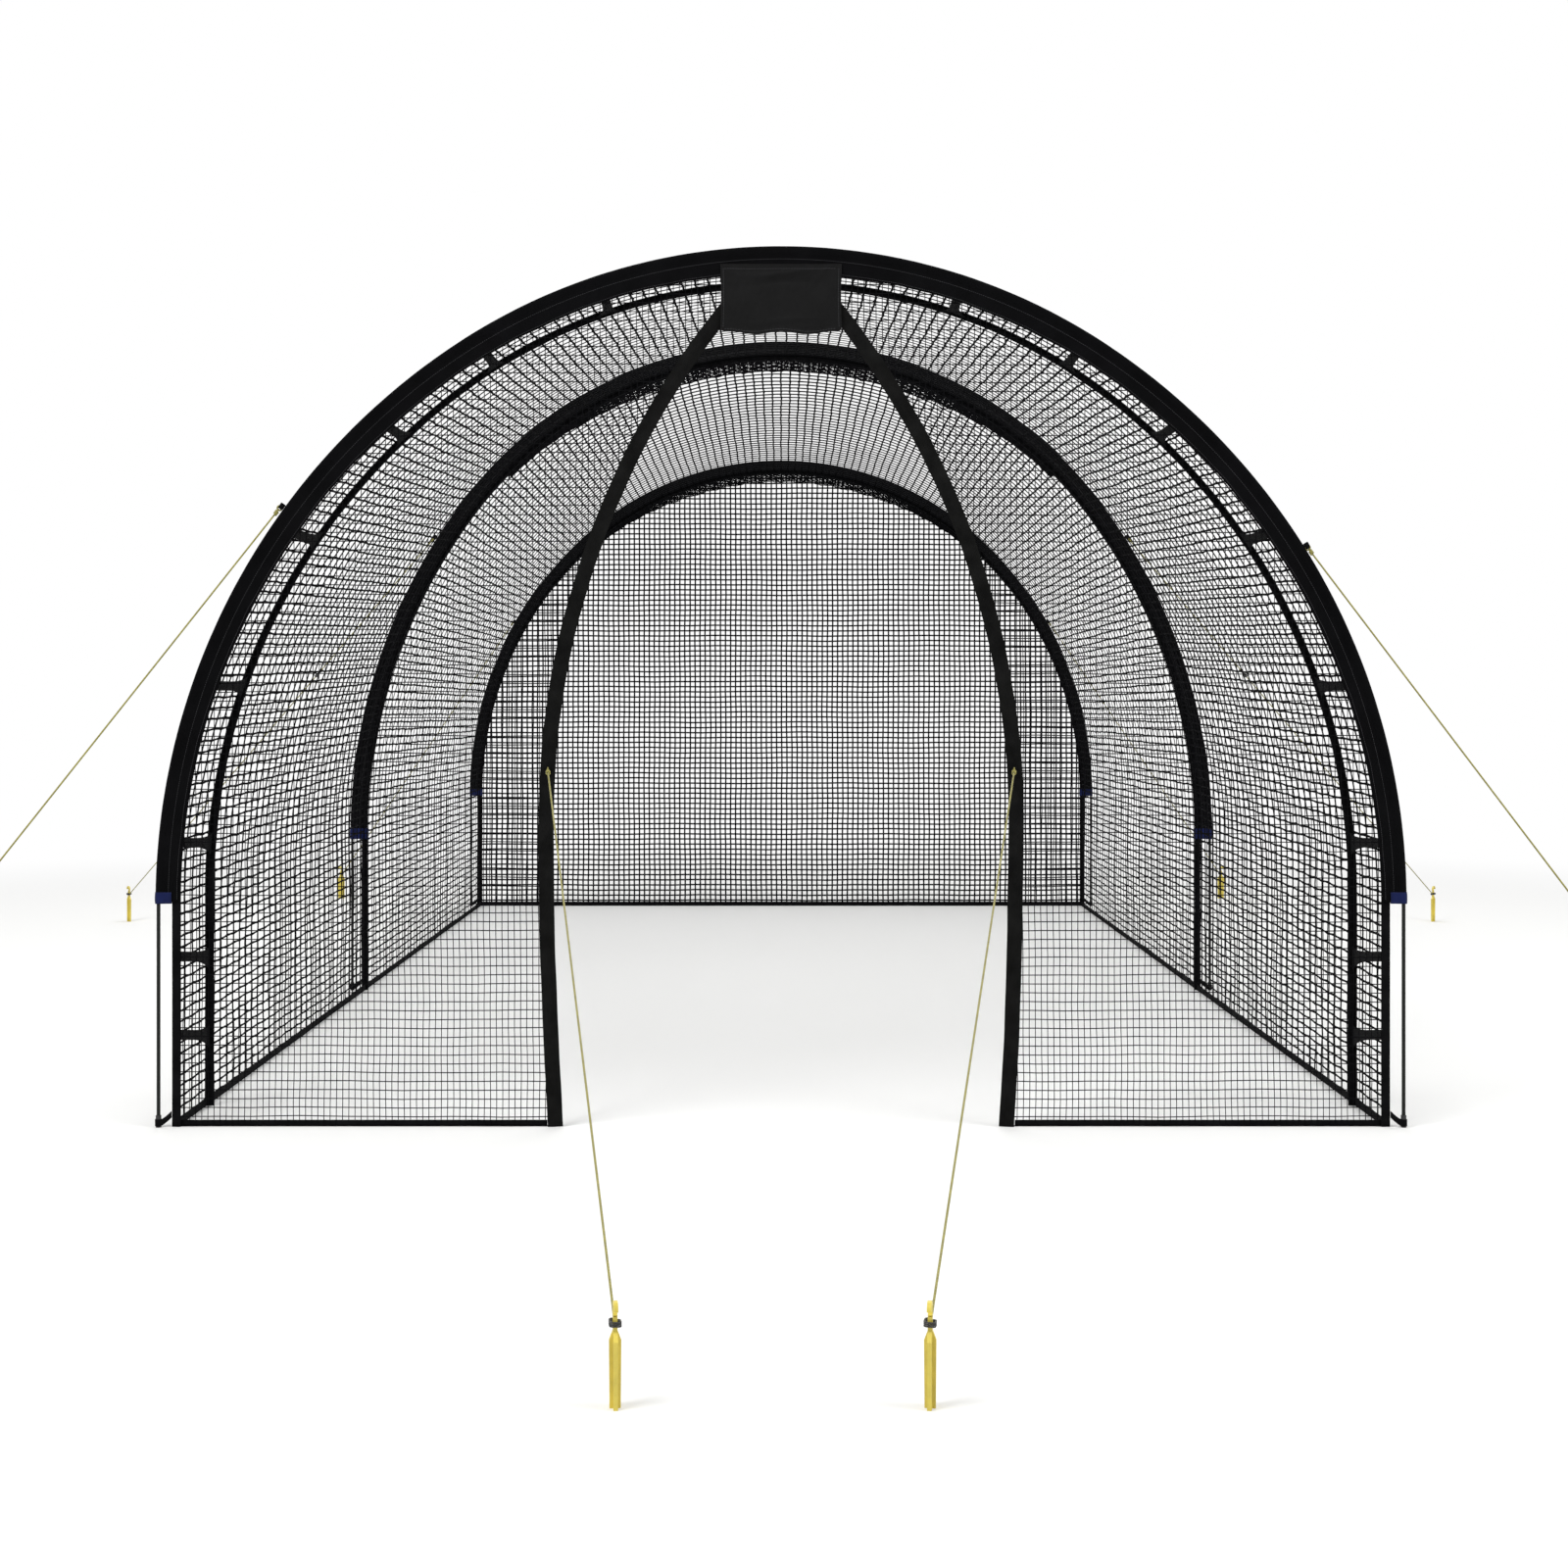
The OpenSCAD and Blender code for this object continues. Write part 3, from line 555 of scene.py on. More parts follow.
def make_stage():
    corners = [(x * FLOOR, y * FLOOR, 0) for x, y in ((-1, -1), (1, -1), (1, 1), (-1, 1))]
    floor = add_mesh("floor", corners, [[0, 1, 2, 3]], smooth=False)
    mat, shader = material("floor", 0.85, (0.80, 0.80, 0.79))
    place = node(mat, "ShaderNodeTexCoord").outputs["Object"]
    away = node(mat, "ShaderNodeVectorMath", operation="LENGTH")
    wire(mat, place, away.inputs[0])
    fade = node(mat, "ShaderNodeMapRange", interpolation_type="SMOOTHSTEP")
    fade.inputs["From Min"].default_value = FLOOR_PALE[0]
    fade.inputs["From Max"].default_value = FLOOR_PALE[1]
    wire(mat, away.outputs["Value"], fade.inputs["Value"])
    seen = node(mat, "ShaderNodeLightPath")
    white = node(mat, "ShaderNodeEmission", Strength=1.0)
    share = combine(mat, fade.outputs["Result"], seen.outputs["Is Camera Ray"])
    mix = node(mat, "ShaderNodeMixShader")
    wire(mat, share, mix.inputs["Fac"])
    wire(mat, shader.outputs["BSDF"], mix.inputs[1])
    wire(mat, white.outputs["Emission"], mix.inputs[2])
    wire(mat, mix.outputs["Shader"], mat.node_tree.nodes["Material Output"].inputs["Surface"])
    floor.data.materials.append(mat)


def make_world():
    world = bpy.data.worlds.new("world")
    bpy.context.scene.world = world
    world.use_nodes = True
    nodes = world.node_tree.nodes
    light = nodes["Background"]
    light.inputs["Color"].default_value = (1, 1, 1, 1)
    light.inputs["Strength"].default_value = 0.55
    white = node(world, "ShaderNodeBackground", Color=(1, 1, 1, 1))
    seen = node(world, "ShaderNodeLightPath").outputs
    either = combine(world, seen["Is Camera Ray"], seen["Is Glossy Ray"], "MAXIMUM")
    mix = node(world, "ShaderNodeMixShader")
    wire(world, either, mix.inputs["Fac"])
    wire(world, light.outputs["Background"], mix.inputs[1])
    wire(world, white.outputs["Background"], mix.inputs[2])
    wire(world, mix.outputs["Shader"], nodes["World Output"].inputs["Surface"])


def area_light(name, place, target, size, power):
    data = bpy.data.lights.new(name, "AREA")
    data.shape = "DISK"
    data.size = size
    data.energy = power
    lamp = bpy.data.objects.new(name, data)
    lamp.location = place
    way = np.array(target) - np.array(place)
    yaw = math.atan2(way[1], way[0]) - math.pi / 2
    pitch = math.atan2(math.hypot(way[0], way[1]), -way[2])
    lamp.rotation_euler = (pitch, 0, yaw)
    bpy.context.collection.objects.link(lamp)


def make_lights():
    area_light("key", (-6.0, -9.0, 9.0), (0, -1, 1), 6.0, 900)
    area_light("fill", (7.0, -7.0, 6.0), (0, 0, 1), 6.0, 450)
    area_light("top", (0.0, 3.0, 9.0), (0, 1, 0), 7.0, 500)


# ---- sleeves, bands and tapes ----

TAPE_T = 0.0024
TO_FRONT = np.array((0.0, -1.0, 0.0))
# The inner edge of each sleeve from the pole centre: at the blue bands and at the crown.
SLEEVE_WIDTHS = {"front": (0.060, 0.072), "middle": (0.060, 0.077), "back": (0.058, 0.076)}
CLOTH = 0.0012
LAYER = 0.0016  # from the middle of the flat part to the face of either layer
SEAM = 0.026  # from the pole centre to where the layers part to go round it
TURN = math.radians(230)  # how far the cloth lies on the pole


def sleeve_edges(which, s):
    """(inner edge, its wave to the front) of a sleeve at s along its hoop."""
    y, hoop = HOOPS[which]
    low, high = SLEEVE_WIDTHS[which]
    _, z = hoop_point(hoop, s)
    rise = np.clip((z - LEG_H) / (hoop[0] - LEG_H), 0, 1)
    inner = low + (high - low) * rise**1.5 + 0.0016 * ripple(s * 6, y, 1.0)
    return inner, 0.0011 * ripple(s * 9, y, 2.0) + 0.0006 * ripple(s * 31, y, 3.0)


def sleeve_profile(inner, wave, fold):
    """The folded cloth's section: along the front layer, round the pole and back, then the
    inside of the cloth. inner is the inner edge, wave moves it to the front."""
    flat, parting = np.arange(6) / 6, np.arange(4) / 4
    a = TURN / 2 - TURN * np.arange(13) / 12
    layers = []
    for face in (1, -1):
        near = np.stack(
            [-inner + (inner - SEAM) * flat, face * LAYER + wave * (1 - flat) ** 1.5], axis=-1
        )
        rise = LAYER + 0.0002 + (SLEEVE_R * 0.93 - LAYER - 0.0002) * ease(parting)
        far = np.stack([-SEAM + (SEAM - 0.004) * parting, face * rise], axis=-1)
        layers.append(np.concatenate([near, far]))
    front, back = layers
    pole = np.stack([SLEEVE_R * np.cos(a) * (1 + fold), SLEEVE_R * np.sin(a)], axis=-1)
    return folded(np.concatenate([front, pole, back[::-1]]), CLOTH)


def make_sleeve(which, mat):
    y, hoop = HOOPS[which]
    long = hoop_length(hoop)
    s = np.linspace(LEG_H, long - LEG_H, 420)
    inner, wave = sleeve_edges(which, s)
    fold = 0.02 * ripple(s * 14, y, 4.0)
    profile = np.array([sleeve_profile(*v) for v in zip(inner, wave, fold)])
    shape = sweep(hoop_rings(y, hoop, s, profile), s)
    piece = make_piece(f"{which}_sleeve_cloth", shape, mat, "sleeve", f"{which}_sleeve")


STITCH, STITCH_PITCH = 0.0042, 0.0065


def make_stitches(which, mat):
    """Two rows of stitches on each side of a sleeve: beside its channel and its inner edge."""
    y, hoop = HOOPS[which]
    s = np.arange(LEG_H + 0.008, hoop_length(hoop) - LEG_H - 0.012, STITCH_PITCH)
    s = s[:, None] + np.array([0, 0.5, 1]) * STITCH
    inner, wave = sleeve_edges(which, s)
    parts = []
    for off in (inner - 0.006, 0 * inner + SEAM + 0.003):
        t = (inner - off) / (inner - SEAM)
        for face in (1, -1):
            front = wave * (1 - t) ** 1.5 + face * (LAYER + 0.00015)
            rings = hoop_rings(y, hoop, s.ravel(), np.stack([-off, front], -1).reshape(-1, 1, 2))
            lines = rings.reshape(s.shape + (3,))
            parts.append(strands(lines, TO_FRONT, 0.0010, 0.0007))
    make_piece(f"{which}_stitches", join_parts(parts), mat, "sleeve")


def make_hoop_tape(name, y, hoop, section, mat, *nodes, wobble=0.0, foot=1.0):
    """Webbing along a hoop from foot to foot. Its width at its feet is foot times its own."""
    long = hoop_length(hoop)
    s = np.linspace(GROUND, long - GROUND, int(long / 0.02))
    profile = np.broadcast_to(section, (len(s),) + section.shape).copy()
    low = np.clip(1 - np.minimum(s, long - s) / 1.8, 0, 1)[:, None]
    middle = section[:, 0].mean()
    profile[..., 0] = middle + (profile[..., 0] - middle) * (1 + (foot - 1) * low)
    profile[..., 1] += wobble * ripple(s * 7, y, 5.0)[:, None]
    profile[..., 0] += wobble * ripple(s * 5, y, 6.0)[:, None]
    make_piece(name, sweep(hoop_rings(y, hoop, s, profile), s), mat, "tape", *nodes)


def make_edge_tapes(mat):
    section = strip(0.026, TAPE_T, out=-NET_INSET - 0.002, front=-0.0036)
    for which, (y, hoop) in HOOPS.items():
        name = f"{which}_edge"
        make_hoop_tape(f"{name}_webbing", y, hoop, section, mat, f"{name}_tape", wobble=0.0002)


def make_ring_tape(mat):
    """The ring's webbing, and its other half, which is folded back along the netting."""
    hoop = hoop_at(RING_Y)
    section = strip(0.020, TAPE_T, out=-0.0633)
    at = (RING_Y, hoop, section, mat, "ring_tape")
    make_hoop_tape("ring_webbing", *at, wobble=0.0010, foot=1.4)
    section = strip(0.0016, 0.016, out=-0.0545, front=0.0085, soft=0.04)
    make_hoop_tape("ring_flap_webbing", RING_Y, hoop, section, mat, wobble=0.0006)


# Places of the tabs along the front hoop and along the ring tape.
TAB_PLACES = ((0.270, 0.218), (0.500, 0.460), (0.840, 0.818), (1.330, 1.330))
TAB_PLACES += ((1.850, 1.850), (2.280, 2.280), (2.650, 2.650), (3.050, 3.050))
TAB_HALF = 0.015
TAB_INSET = 0.0628  # from the pole line to a tab's upper face
WEB_LONG, WEB_DEEP, WEB_UPPER = 0.200, 0.034, 0.55


def make_tabs(mat):
    """Webbing tabs from the front hoop back to the ring tape. Each swells into a rounded web
    where it meets the ring, most on its lower side."""
    y0, y1 = FRONT_Y + SLEEVE_R, RING_Y - 0.0018
    t = np.linspace(0, 1, 36)
    y = y0 + (y1 - y0) * t
    near = np.clip(1 - (y1 - y) / WEB_LONG, 0, 1)
    web = WEB_DEEP * (1 - np.sqrt(1 - near**2))
    sag = 0.003 * np.sin(math.pi * t)
    depth = np.array([0, 0, 0, TAPE_T, TAPE_T, TAPE_T])
    parts = []
    for place in TAB_PLACES:
        middle = place[0] + (place[1] - place[0]) * t
        low, high = middle - TAB_HALF - web, middle + TAB_HALF + WEB_UPPER * web
        rings = []
        for k in range(len(t)):
            edge = np.array([low[k], middle[k], high[k], high[k], middle[k], low[k]])
            x, z = hoop_point(hoop_at(y[k]), edge, -TAB_INSET - sag[k] - depth)
            rings.append(np.stack([x, np.full(6, y[k]), z], axis=-1))
        rings = np.array(rings)
        parts += [sweep(rings, y - y0), sweep(mirrored(rings), y - y0)]
    shape = join_parts(parts)
    make_piece("ring_tab_webbing", shape, mat, "tape", "ring_tabs", smooth=False)


BAND_H = 0.030
BAND_DROP = {"front": 0.004, "middle": 0.016, "back": 0.010}  # below the sleeve's end


def band_section(swell, over_tape):
    """The band's section, which swells a little at the middle of its height."""
    r, half = SLEEVE_R + 0.0008 + swell, 0.0034 + swell
    inner = 0.0668 if over_tape else 0.0385
    near = half + 0.0028 * over_tape
    a = np.radians(range(110, -111, -20))
    line = [(-inner, half), (-0.030, half), (-0.018, half + 0.0022)]
    line += list(zip(r * np.cos(a), r * np.sin(a)))
    line += [(-0.018, -half - 0.0022), (-0.030, -half), (-0.0375, -near), (-inner, -near)]
    return folded(np.array(line), 0.0009)


def make_bands(mat):
    """Blue binding folded round the lower end of each sleeve. On the middle and back hoops it
    goes over the edge tape too."""
    parts = []
    t = np.linspace(0, 1, 7)
    swell = 0.0010 * np.sin(math.pi * t) + 0.0004
    for which, (y, hoop) in HOOPS.items():
        drop = BAND_DROP[which]
        s = LEG_H - drop + (BAND_H + drop) * t
        rings = hoop_rings(y, hoop, s, np.array([band_section(k, which != "front") for k in swell]))
        parts += [sweep(rings, s), sweep(mirrored(rings), s)]
    make_piece("end_band_cloth", join_parts(parts), mat, "band", "end_bands")


def ribbon(path, width, thick):
    """(points, faces, uv) of a flat strap that stands on edge along path (n, 3)."""
    path = np.asarray(path, float)
    up = np.array((0.0, 0.0, 1.0))
    normal = unit(np.cross(unit(np.gradient(path, axis=0)), up))
    section = strip(width, thick)
    rings = path[:, None] + section[:, :1] * up + section[None, :, 1:] * normal[:, None]
    step = np.linalg.norm(np.diff(path, axis=0), axis=1)
    return sweep(rings, np.concatenate([[0], np.cumsum(step)]))


WALL_TAPE, DOORSIDE_TAPE = (0.0130, 0.025), (0.0105, 0.019)  # height of its middle, its width


def make_ground_tape(name, x, y, z, width, mat):
    shape = ribbon(np.stack(np.broadcast_arrays(x, y, z), axis=-1), width, 0.0022)
    make_piece(f"{name}_ground_webbing", shape, mat, "tape", f"{name}_ground_tape")


def make_ground_tapes(mat):
    """Webbing along the foot of each wall, standing on edge with slight waves."""
    inner, front, back = HALF_W - NET_INSET, FRONT_Y + 0.0098, BACK_Y + 0.0098
    y = np.linspace(FRONT_Y + 0.0086, BACK_Y - 0.0026, 260)
    for side, name in SIDES:
        x = side * (inner - 0.0046 - 0.0008 * (1 + ripple(y * 3, side, 7.0)))
        make_ground_tape(name, x, y, *WALL_TAPE, mat)
    x = np.linspace(-inner, inner, 150)
    make_ground_tape("back", x, back + 0.0006 * ripple(x * 4, 0, 8.0), *WALL_TAPE, mat)
    for side, name in SIDES:
        x = side * np.linspace(DOOR_FOOT + 0.025, inner - 0.0062, 60)
        y = front + 0.0006 * ripple(x * 5, 1, 9.0)
        make_ground_tape(f"{name}_front", x, y, *DOORSIDE_TAPE, mat)


def make_corner_straps(mat):
    """A strap sewn round each foot cap, whose tail holds the edge tape's foot."""
    a = np.radians(np.linspace(180, -180, 30))[1:-1]
    loop = 0.0095 * np.stack([np.cos(a), np.sin(a), 0 * a], axis=-1)
    tail = np.array([(-0.0385, 0.0008, 0.024), (-0.028, 0.0008, 0.014), (-0.017, 0.0006, 0.005)])
    path = np.concatenate([tail, loop, tail[::-1] * (1, -1, 1)]) + (HALF_W, 0, 0.014)
    parts = []
    for y in (FRONT_Y, MIDDLE_Y, BACK_Y):
        for side, _ in SIDES:
            parts.append(ribbon(path * (side, 1, 1) + (0, y, 0), 0.020, 0.0014))
    make_piece("corner_strap_webbing", join_parts(parts), mat, "tape", "corner_straps")


def make_door_tapes(mat):
    """The doorway's edges: wide webbing with a folded binding along its inner edge."""
    z = np.linspace(GROUND, DOOR_TOP_Z, 190)
    w = DOOR_TAPE_W / 2
    section = [(-w, 0.0), (-w + 0.001, 0.0017), (-w + 0.0105, 0.0019), (-w + 0.0115, 0.0010)]
    section += [(w - 0.001, 0.0010), (w, 0.0), (w - 0.001, -0.0012), (-w + 0.001, -0.0012)]
    across, front = np.array(section).T
    for side, name in SIDES:
        x = door_x(z) + 0.0012 * ripple(z * 4, side, 10.0)
        sway = 0.0010 * ripple(z * 6, side, 11.0)
        path = np.stack([x, np.full_like(z, FRONT_Y + 0.0036), z], axis=-1)
        way = unit(np.stack([np.ones_like(z), 0 * z, -np.gradient(x, z)], axis=-1))
        rings = path[:, None] + way[:, None] * across[:, None]
        rings[..., 1] -= front + sway[:, None] * (across + w) / (2 * w)
        shape = sweep(rings if side > 0 else mirrored(rings), z)
        make_piece(f"{name}_door_webbing", shape, mat, "tape", f"{name}_door_tape", smooth=False)


HEADER_W, HEADER_H, HEADER_TOP = 0.356, 0.203, 2.533
HEADER_CORNER = 0.013
HEADER_WAVE = math.radians(2200)  # for each metre of its lower edge
HEM, HEM_T = 0.011, 0.0009


def header_face(uu, vv):
    """(points, the hem's thickness) of the header's front face: uu goes from -0.5 to 0.5 across
    it, and vv from 0 at its top to 1."""
    corner = np.clip(HEADER_CORNER - (1 - vv) * HEADER_H, 0, HEADER_CORNER)
    narrow = HEADER_CORNER - np.sqrt(HEADER_CORNER**2 - corner**2)
    x = uu * (HEADER_W - 0.004 * np.sin(math.pi * vv) - 2 * narrow)
    lift = 0.004 * vv * np.cos(uu * HEADER_W * HEADER_WAVE)
    fold = 0.0030 * np.sin(uu * 17.0 + 0.6) + 0.0012 * np.sin(uu * 41.0 + vv * 3)
    crease = 0.0010 * ripple(uu * 9, vv * 3, 12.0)
    for side, size in ((1, 0.0030), (-1, 0.0022)):
        off = (0.5 - side * uu) * HEADER_W - (0.030 + (0.13 + 0.05 * side) * vv)
        crease = crease + size * np.exp(-((off / 0.012) ** 2) - (vv / 0.42) ** 2)
    for at, size in ((0.13, 0.0046), (0.30, -0.0028), (0.80, 0.0022)):
        line = vv - at - 0.05 * np.cos(uu * 5.0 + at * 9)
        crease = crease + size * np.exp(-((line / 0.045) ** 2)) * np.cos(math.pi * uu) ** 2
    edge = np.minimum((0.5 - np.abs(uu)) * HEADER_W, np.minimum(vv, 1 - vv) * HEADER_H)
    hem = HEM_T * (edge < HEM)
    y = FRONT_Y - 0.0046 - 0.0030 * vv - fold * vv * 0.5 - crease - hem
    z = HEADER_TOP - vv * HEADER_H + lift
    return np.stack([x, y, z], axis=-1), hem


def make_header(mat, thread):
    """The cloth panel over the doorway: sewn along its top, with hemmed edges and soft waves."""
    cols, rows = 90, 60
    uu, vv = np.meshgrid(np.linspace(-0.5, 0.5, cols), np.linspace(0, 1, rows), indexing="ij")
    face, hem = header_face(uu, vv)
    back = face + (0, CLOTH, 0)
    back[..., 1] += hem
    points = np.concatenate([face.reshape(-1, 3), back.reshape(-1, 3)])
    n = cols * rows
    grid = grid_faces(cols, rows)
    faces = [f[::-1] for f in grid] + [[p + n for p in f] for f in grid]
    ring = [i * rows for i in range(cols)]
    ring += [(cols - 1) * rows + j for j in range(1, rows)]
    ring += [i * rows + rows - 1 for i in range(cols - 2, -1, -1)]
    ring += list(range(rows - 2, 0, -1))
    faces += [[a, b, b + n, a + n] for a, b in zip(ring, ring[1:] + ring[:1])]
    uv = np.tile(np.stack([uu * HEADER_W, vv * HEADER_H], axis=-1).reshape(-1, 2), (2, 1))
    piece = make_piece("header_cloth", (points, faces, uv), mat, "sleeve", "header_panel")

    parts = []
    across, down, top = 0.5 - 0.008 / HEADER_W, 1 - 0.008 / HEADER_H, 0.07
    for start, end, length in (
        ((-across, top - 0.01), (-across, down), HEADER_H),
        ((across, top - 0.01), (across, down), HEADER_H),
        ((-across, down), (across, down), HEADER_W),
        ((-across, top), (across, top), HEADER_W),
    ):
        first = np.arange(0.01, 0.97, 0.0082 / length)[:, None]
        t = first + np.array([0.0, 0.0027, 0.0054]) / length
        u, v = (a + (b - a) * t for a, b in zip(start, end))
        lines = header_face(u, v)[0] - (0, 0.0004, 0)
        parts.append(strands(lines, TO_FRONT, 0.0013, 0.0008))
    seam = make_piece("header_stitches", join_parts(parts), thread, "sleeve")


LOOP_R = 0.0068
HOOP_LOOPS = (  # hoop, height, side
    ("front", 1.812, -1),
    ("front", 1.698, 1),
    ("middle", 1.922, -1),
    ("middle", 1.922, 1),
    ("back", 1.672, -1),
    ("back", 1.672, 1),
)
DOOR_LOOP_Z = 1.050


def make_loops(mat):
    """Small webbing loops that the ropes are tied to."""
    parts = []
    for which, z, side in HOOP_LOOPS:
        y, hoop = HOOPS[which]
        _, side_r, _, _ = radii(hoop)
        angle = math.asin((z - LEG_H) / side_r)
        x, z = hoop_point(hoop, LEG_H + side_r * angle, SLEEVE_R + 0.0083)
        out = np.array((math.cos(angle), 0, math.sin(angle)))
        along = np.array((-math.sin(angle), 0, math.cos(angle)))
        parts.append(loop_part(np.array((float(x), y, float(z))), out, along, side))
    centre = np.array((float(door_x(DOOR_LOOP_Z)), FRONT_Y - 0.0060, DOOR_LOOP_Z))
    for side, _ in SIDES:
        parts.append(loop_part(centre, TO_FRONT, np.array((0, 0, 1)), side))
    make_piece("guy_loop_webbing", join_parts(parts), mat, "tape", "guy_loops")


def loop_part(centre, out, along, side):
    """A ring of webbing round an axis along its width, mirrored where side is -1."""
    a = np.linspace(0, 2 * math.pi, 25)[:-1, None]
    rays = out * np.cos(a) + np.cross(out, along) * np.sin(a)
    section = strip(0.018, 0.0020)
    middles = centre + rays * LOOP_R
    rings = middles[:, None] + section[:, :1] * along + section[None, :, 1:] * rays[:, None]
    return sweep(rings if side > 0 else mirrored(rings), a[:, 0] * LOOP_R, closed=True)


# ---- nets ----

# Each set of twines: its pitch, their width and their thickness.
LENGTHWISE = {"front": (0.037, 0.0074, 0.0026), "rear": (0.037, 0.0081, 0.0026)}
CROSSWISE = {"front": (0.085, 0.0086, 0.0048), "rear": (0.085, 0.0092, 0.0032)}
CROWN_DEEPEN = {"front": -0.36, "rear": 0.90}  # how much thicker crosswise twines are there
CROWN_OPEN = 0.14  # how much wider the lengthwise twines' pitch is at the crown
NET_END = 0.004  # from the ends of the netting to its first twines
KNOT_SWELL = (1.22, 0.84)  # width of lengthwise twines at their knots and between them
BACK_TWINE = (0.030, 0.0090, 0.0022)
FRONT_UPRIGHT = (0.018, 0.0024, 0.0020)
FRONT_LEVEL = (0.026, 0.0030, 0.0020)
FLAT_NET_BEHIND = 0.0088  # distance of the flat nets behind their hoop
HELD_BY_HOOP, HELD_BY_RING = 0.35, 0.25  # how far from there the netting moves freely


def net_place(y, u, push, slide=0.0):
    """(place, outward direction) at a share u of the hoop over y, pushed outwards."""
    hoop = hoop_at(y)
    long = hoop_length(hoop)
    s = GROUND + NET_END + u * (long - 2 * GROUND - 2 * NET_END) + slide
    x, z = hoop_point(hoop, s, -NET_INSET - 0.0015 + push)
    a = hoop_angle(hoop, s)
    out = np.stack([np.cos(a), 0 * a, np.sin(a)], axis=-1)
    return np.stack([x, np.full_like(x, y), z], axis=-1), out


def hold(y, y0, y1):
    """How freely the netting moves at y: not at all at the hoops and at the ring tape."""
    at_hoops = np.clip(np.minimum(y - y0, y1 - y) / HELD_BY_HOOP, 0, 1)
    return at_hoops * np.clip(np.abs(y - RING_Y) / HELD_BY_RING, 0, 1)


def net_push(y, u, y0, y1):
    """Slack of the netting: waves, fuller near the ground, and a slight sag under the roof."""
    height = np.sin(math.pi * np.clip(u, 0, 1))
    waves = (0.0015 + 0.0035 * (1 - height)) * ripple(u * 14, y * 1.6, y0)
    middle = math.sin(math.pi * (y - y0) / (y1 - y0))
    return hold(y, y0, y1) * (waves - 0.008 * height * middle - 0.002)


def make_bay_net(bay, y0, y1, mat):
    """A bay's netting: lengthwise twines that are knotted where crosswise ones cross them."""
    lengthwise, crosswise = LENGTHWISE[bay], CROSSWISE[bay]
    long = hoop_length(hoop_at((y0 + y1) / 2))
    n_long = round(long / lengthwise[0])
    n_cross = round((y1 - y0) / crosswise[0])
    share = (np.arange(n_long) + 0.5) / n_long
    u = share - CROWN_OPEN * np.sin(2 * math.pi * share) / (2 * math.pi)
    ys = np.linspace(y0 + NET_END, y1 - NET_END, 2 * n_cross + 1)
    at_knot = np.arange(len(ys)) % 2 == 0
    rows = []
    for k, y in enumerate(ys):
        jitter = 0.0022 * ripple(u * 40, y * 5, 1.5)
        jitter += 0.0016 * at_knot[k] * (-1.0) ** (k // 2 + np.arange(n_long))
        rows.append(net_place(y, u, net_push(y, u, y0, y1), jitter))
    lines, outs = (np.stack(part, axis=1) for part in zip(*rows))
    parts = [strands(lines, outs, *lengthwise[1:], np.where(at_knot, *KNOT_SWELL))]
    around = np.linspace(0, 1, 150)
    rows = []
    for j, y in enumerate(ys[::2]):
        place, out = net_place(y, around, net_push(y, around, y0, y1) + 0.0012)
        free = float(hold(y, y0, y1))
        place[:, 1] += free * 0.009 * ripple(around * 30, y * 4, 2.5)
        place[1:-1, 1] += free * 0.0018 * (-1.0) ** np.arange(j, j + len(around) - 2)
        rows.append((place, out))
    deepen = 1 + CROWN_DEEPEN[bay] * np.sin(math.pi * around) ** 4
    parts.append(strands(*zip(*rows), *crosswise[1:], deepen=deepen))
    shape = join_parts(parts)
    piece = make_piece(f"{bay}_bay_netting", shape, mat, "net", f"{bay}_bay_net", smooth=False)


def runs(inside):
    """The (first, last) indices of each unbroken run of True."""
    edges = np.flatnonzero(np.diff(np.concatenate([[0], inside.astype(int), [0]])))
    return [(a, b - 1) for a, b in zip(edges[::2], edges[1::2]) if b - a > 2]


def in_arch(hoop, x, z):
    """Whether points are inside the nets' outline of a hoop."""
    crown, side, join, centre = radii(hoop)
    x = np.abs(x)
    inset = NET_INSET - 0.004
    by_side = np.hypot(x - (HALF_W - side), np.maximum(z - LEG_H, 0)) < side - inset
    by_crown = np.hypot(x, z - centre) < crown - inset
    height = LEG_H + side * math.sin(join)
    return np.where(z < LEG_H, x < HALF_W - inset, np.where(z < height, by_side, by_crown))


def by_door(side, x, z):
    """Whether points are in the front net on this side of the doorway."""
    edge = np.where(z < DOOR_TOP_Z, door_x(np.minimum(z, DOOR_TOP_Z)), 0.0)
    return in_arch(FRONT_HOOP, x, z) & (x * side > edge)


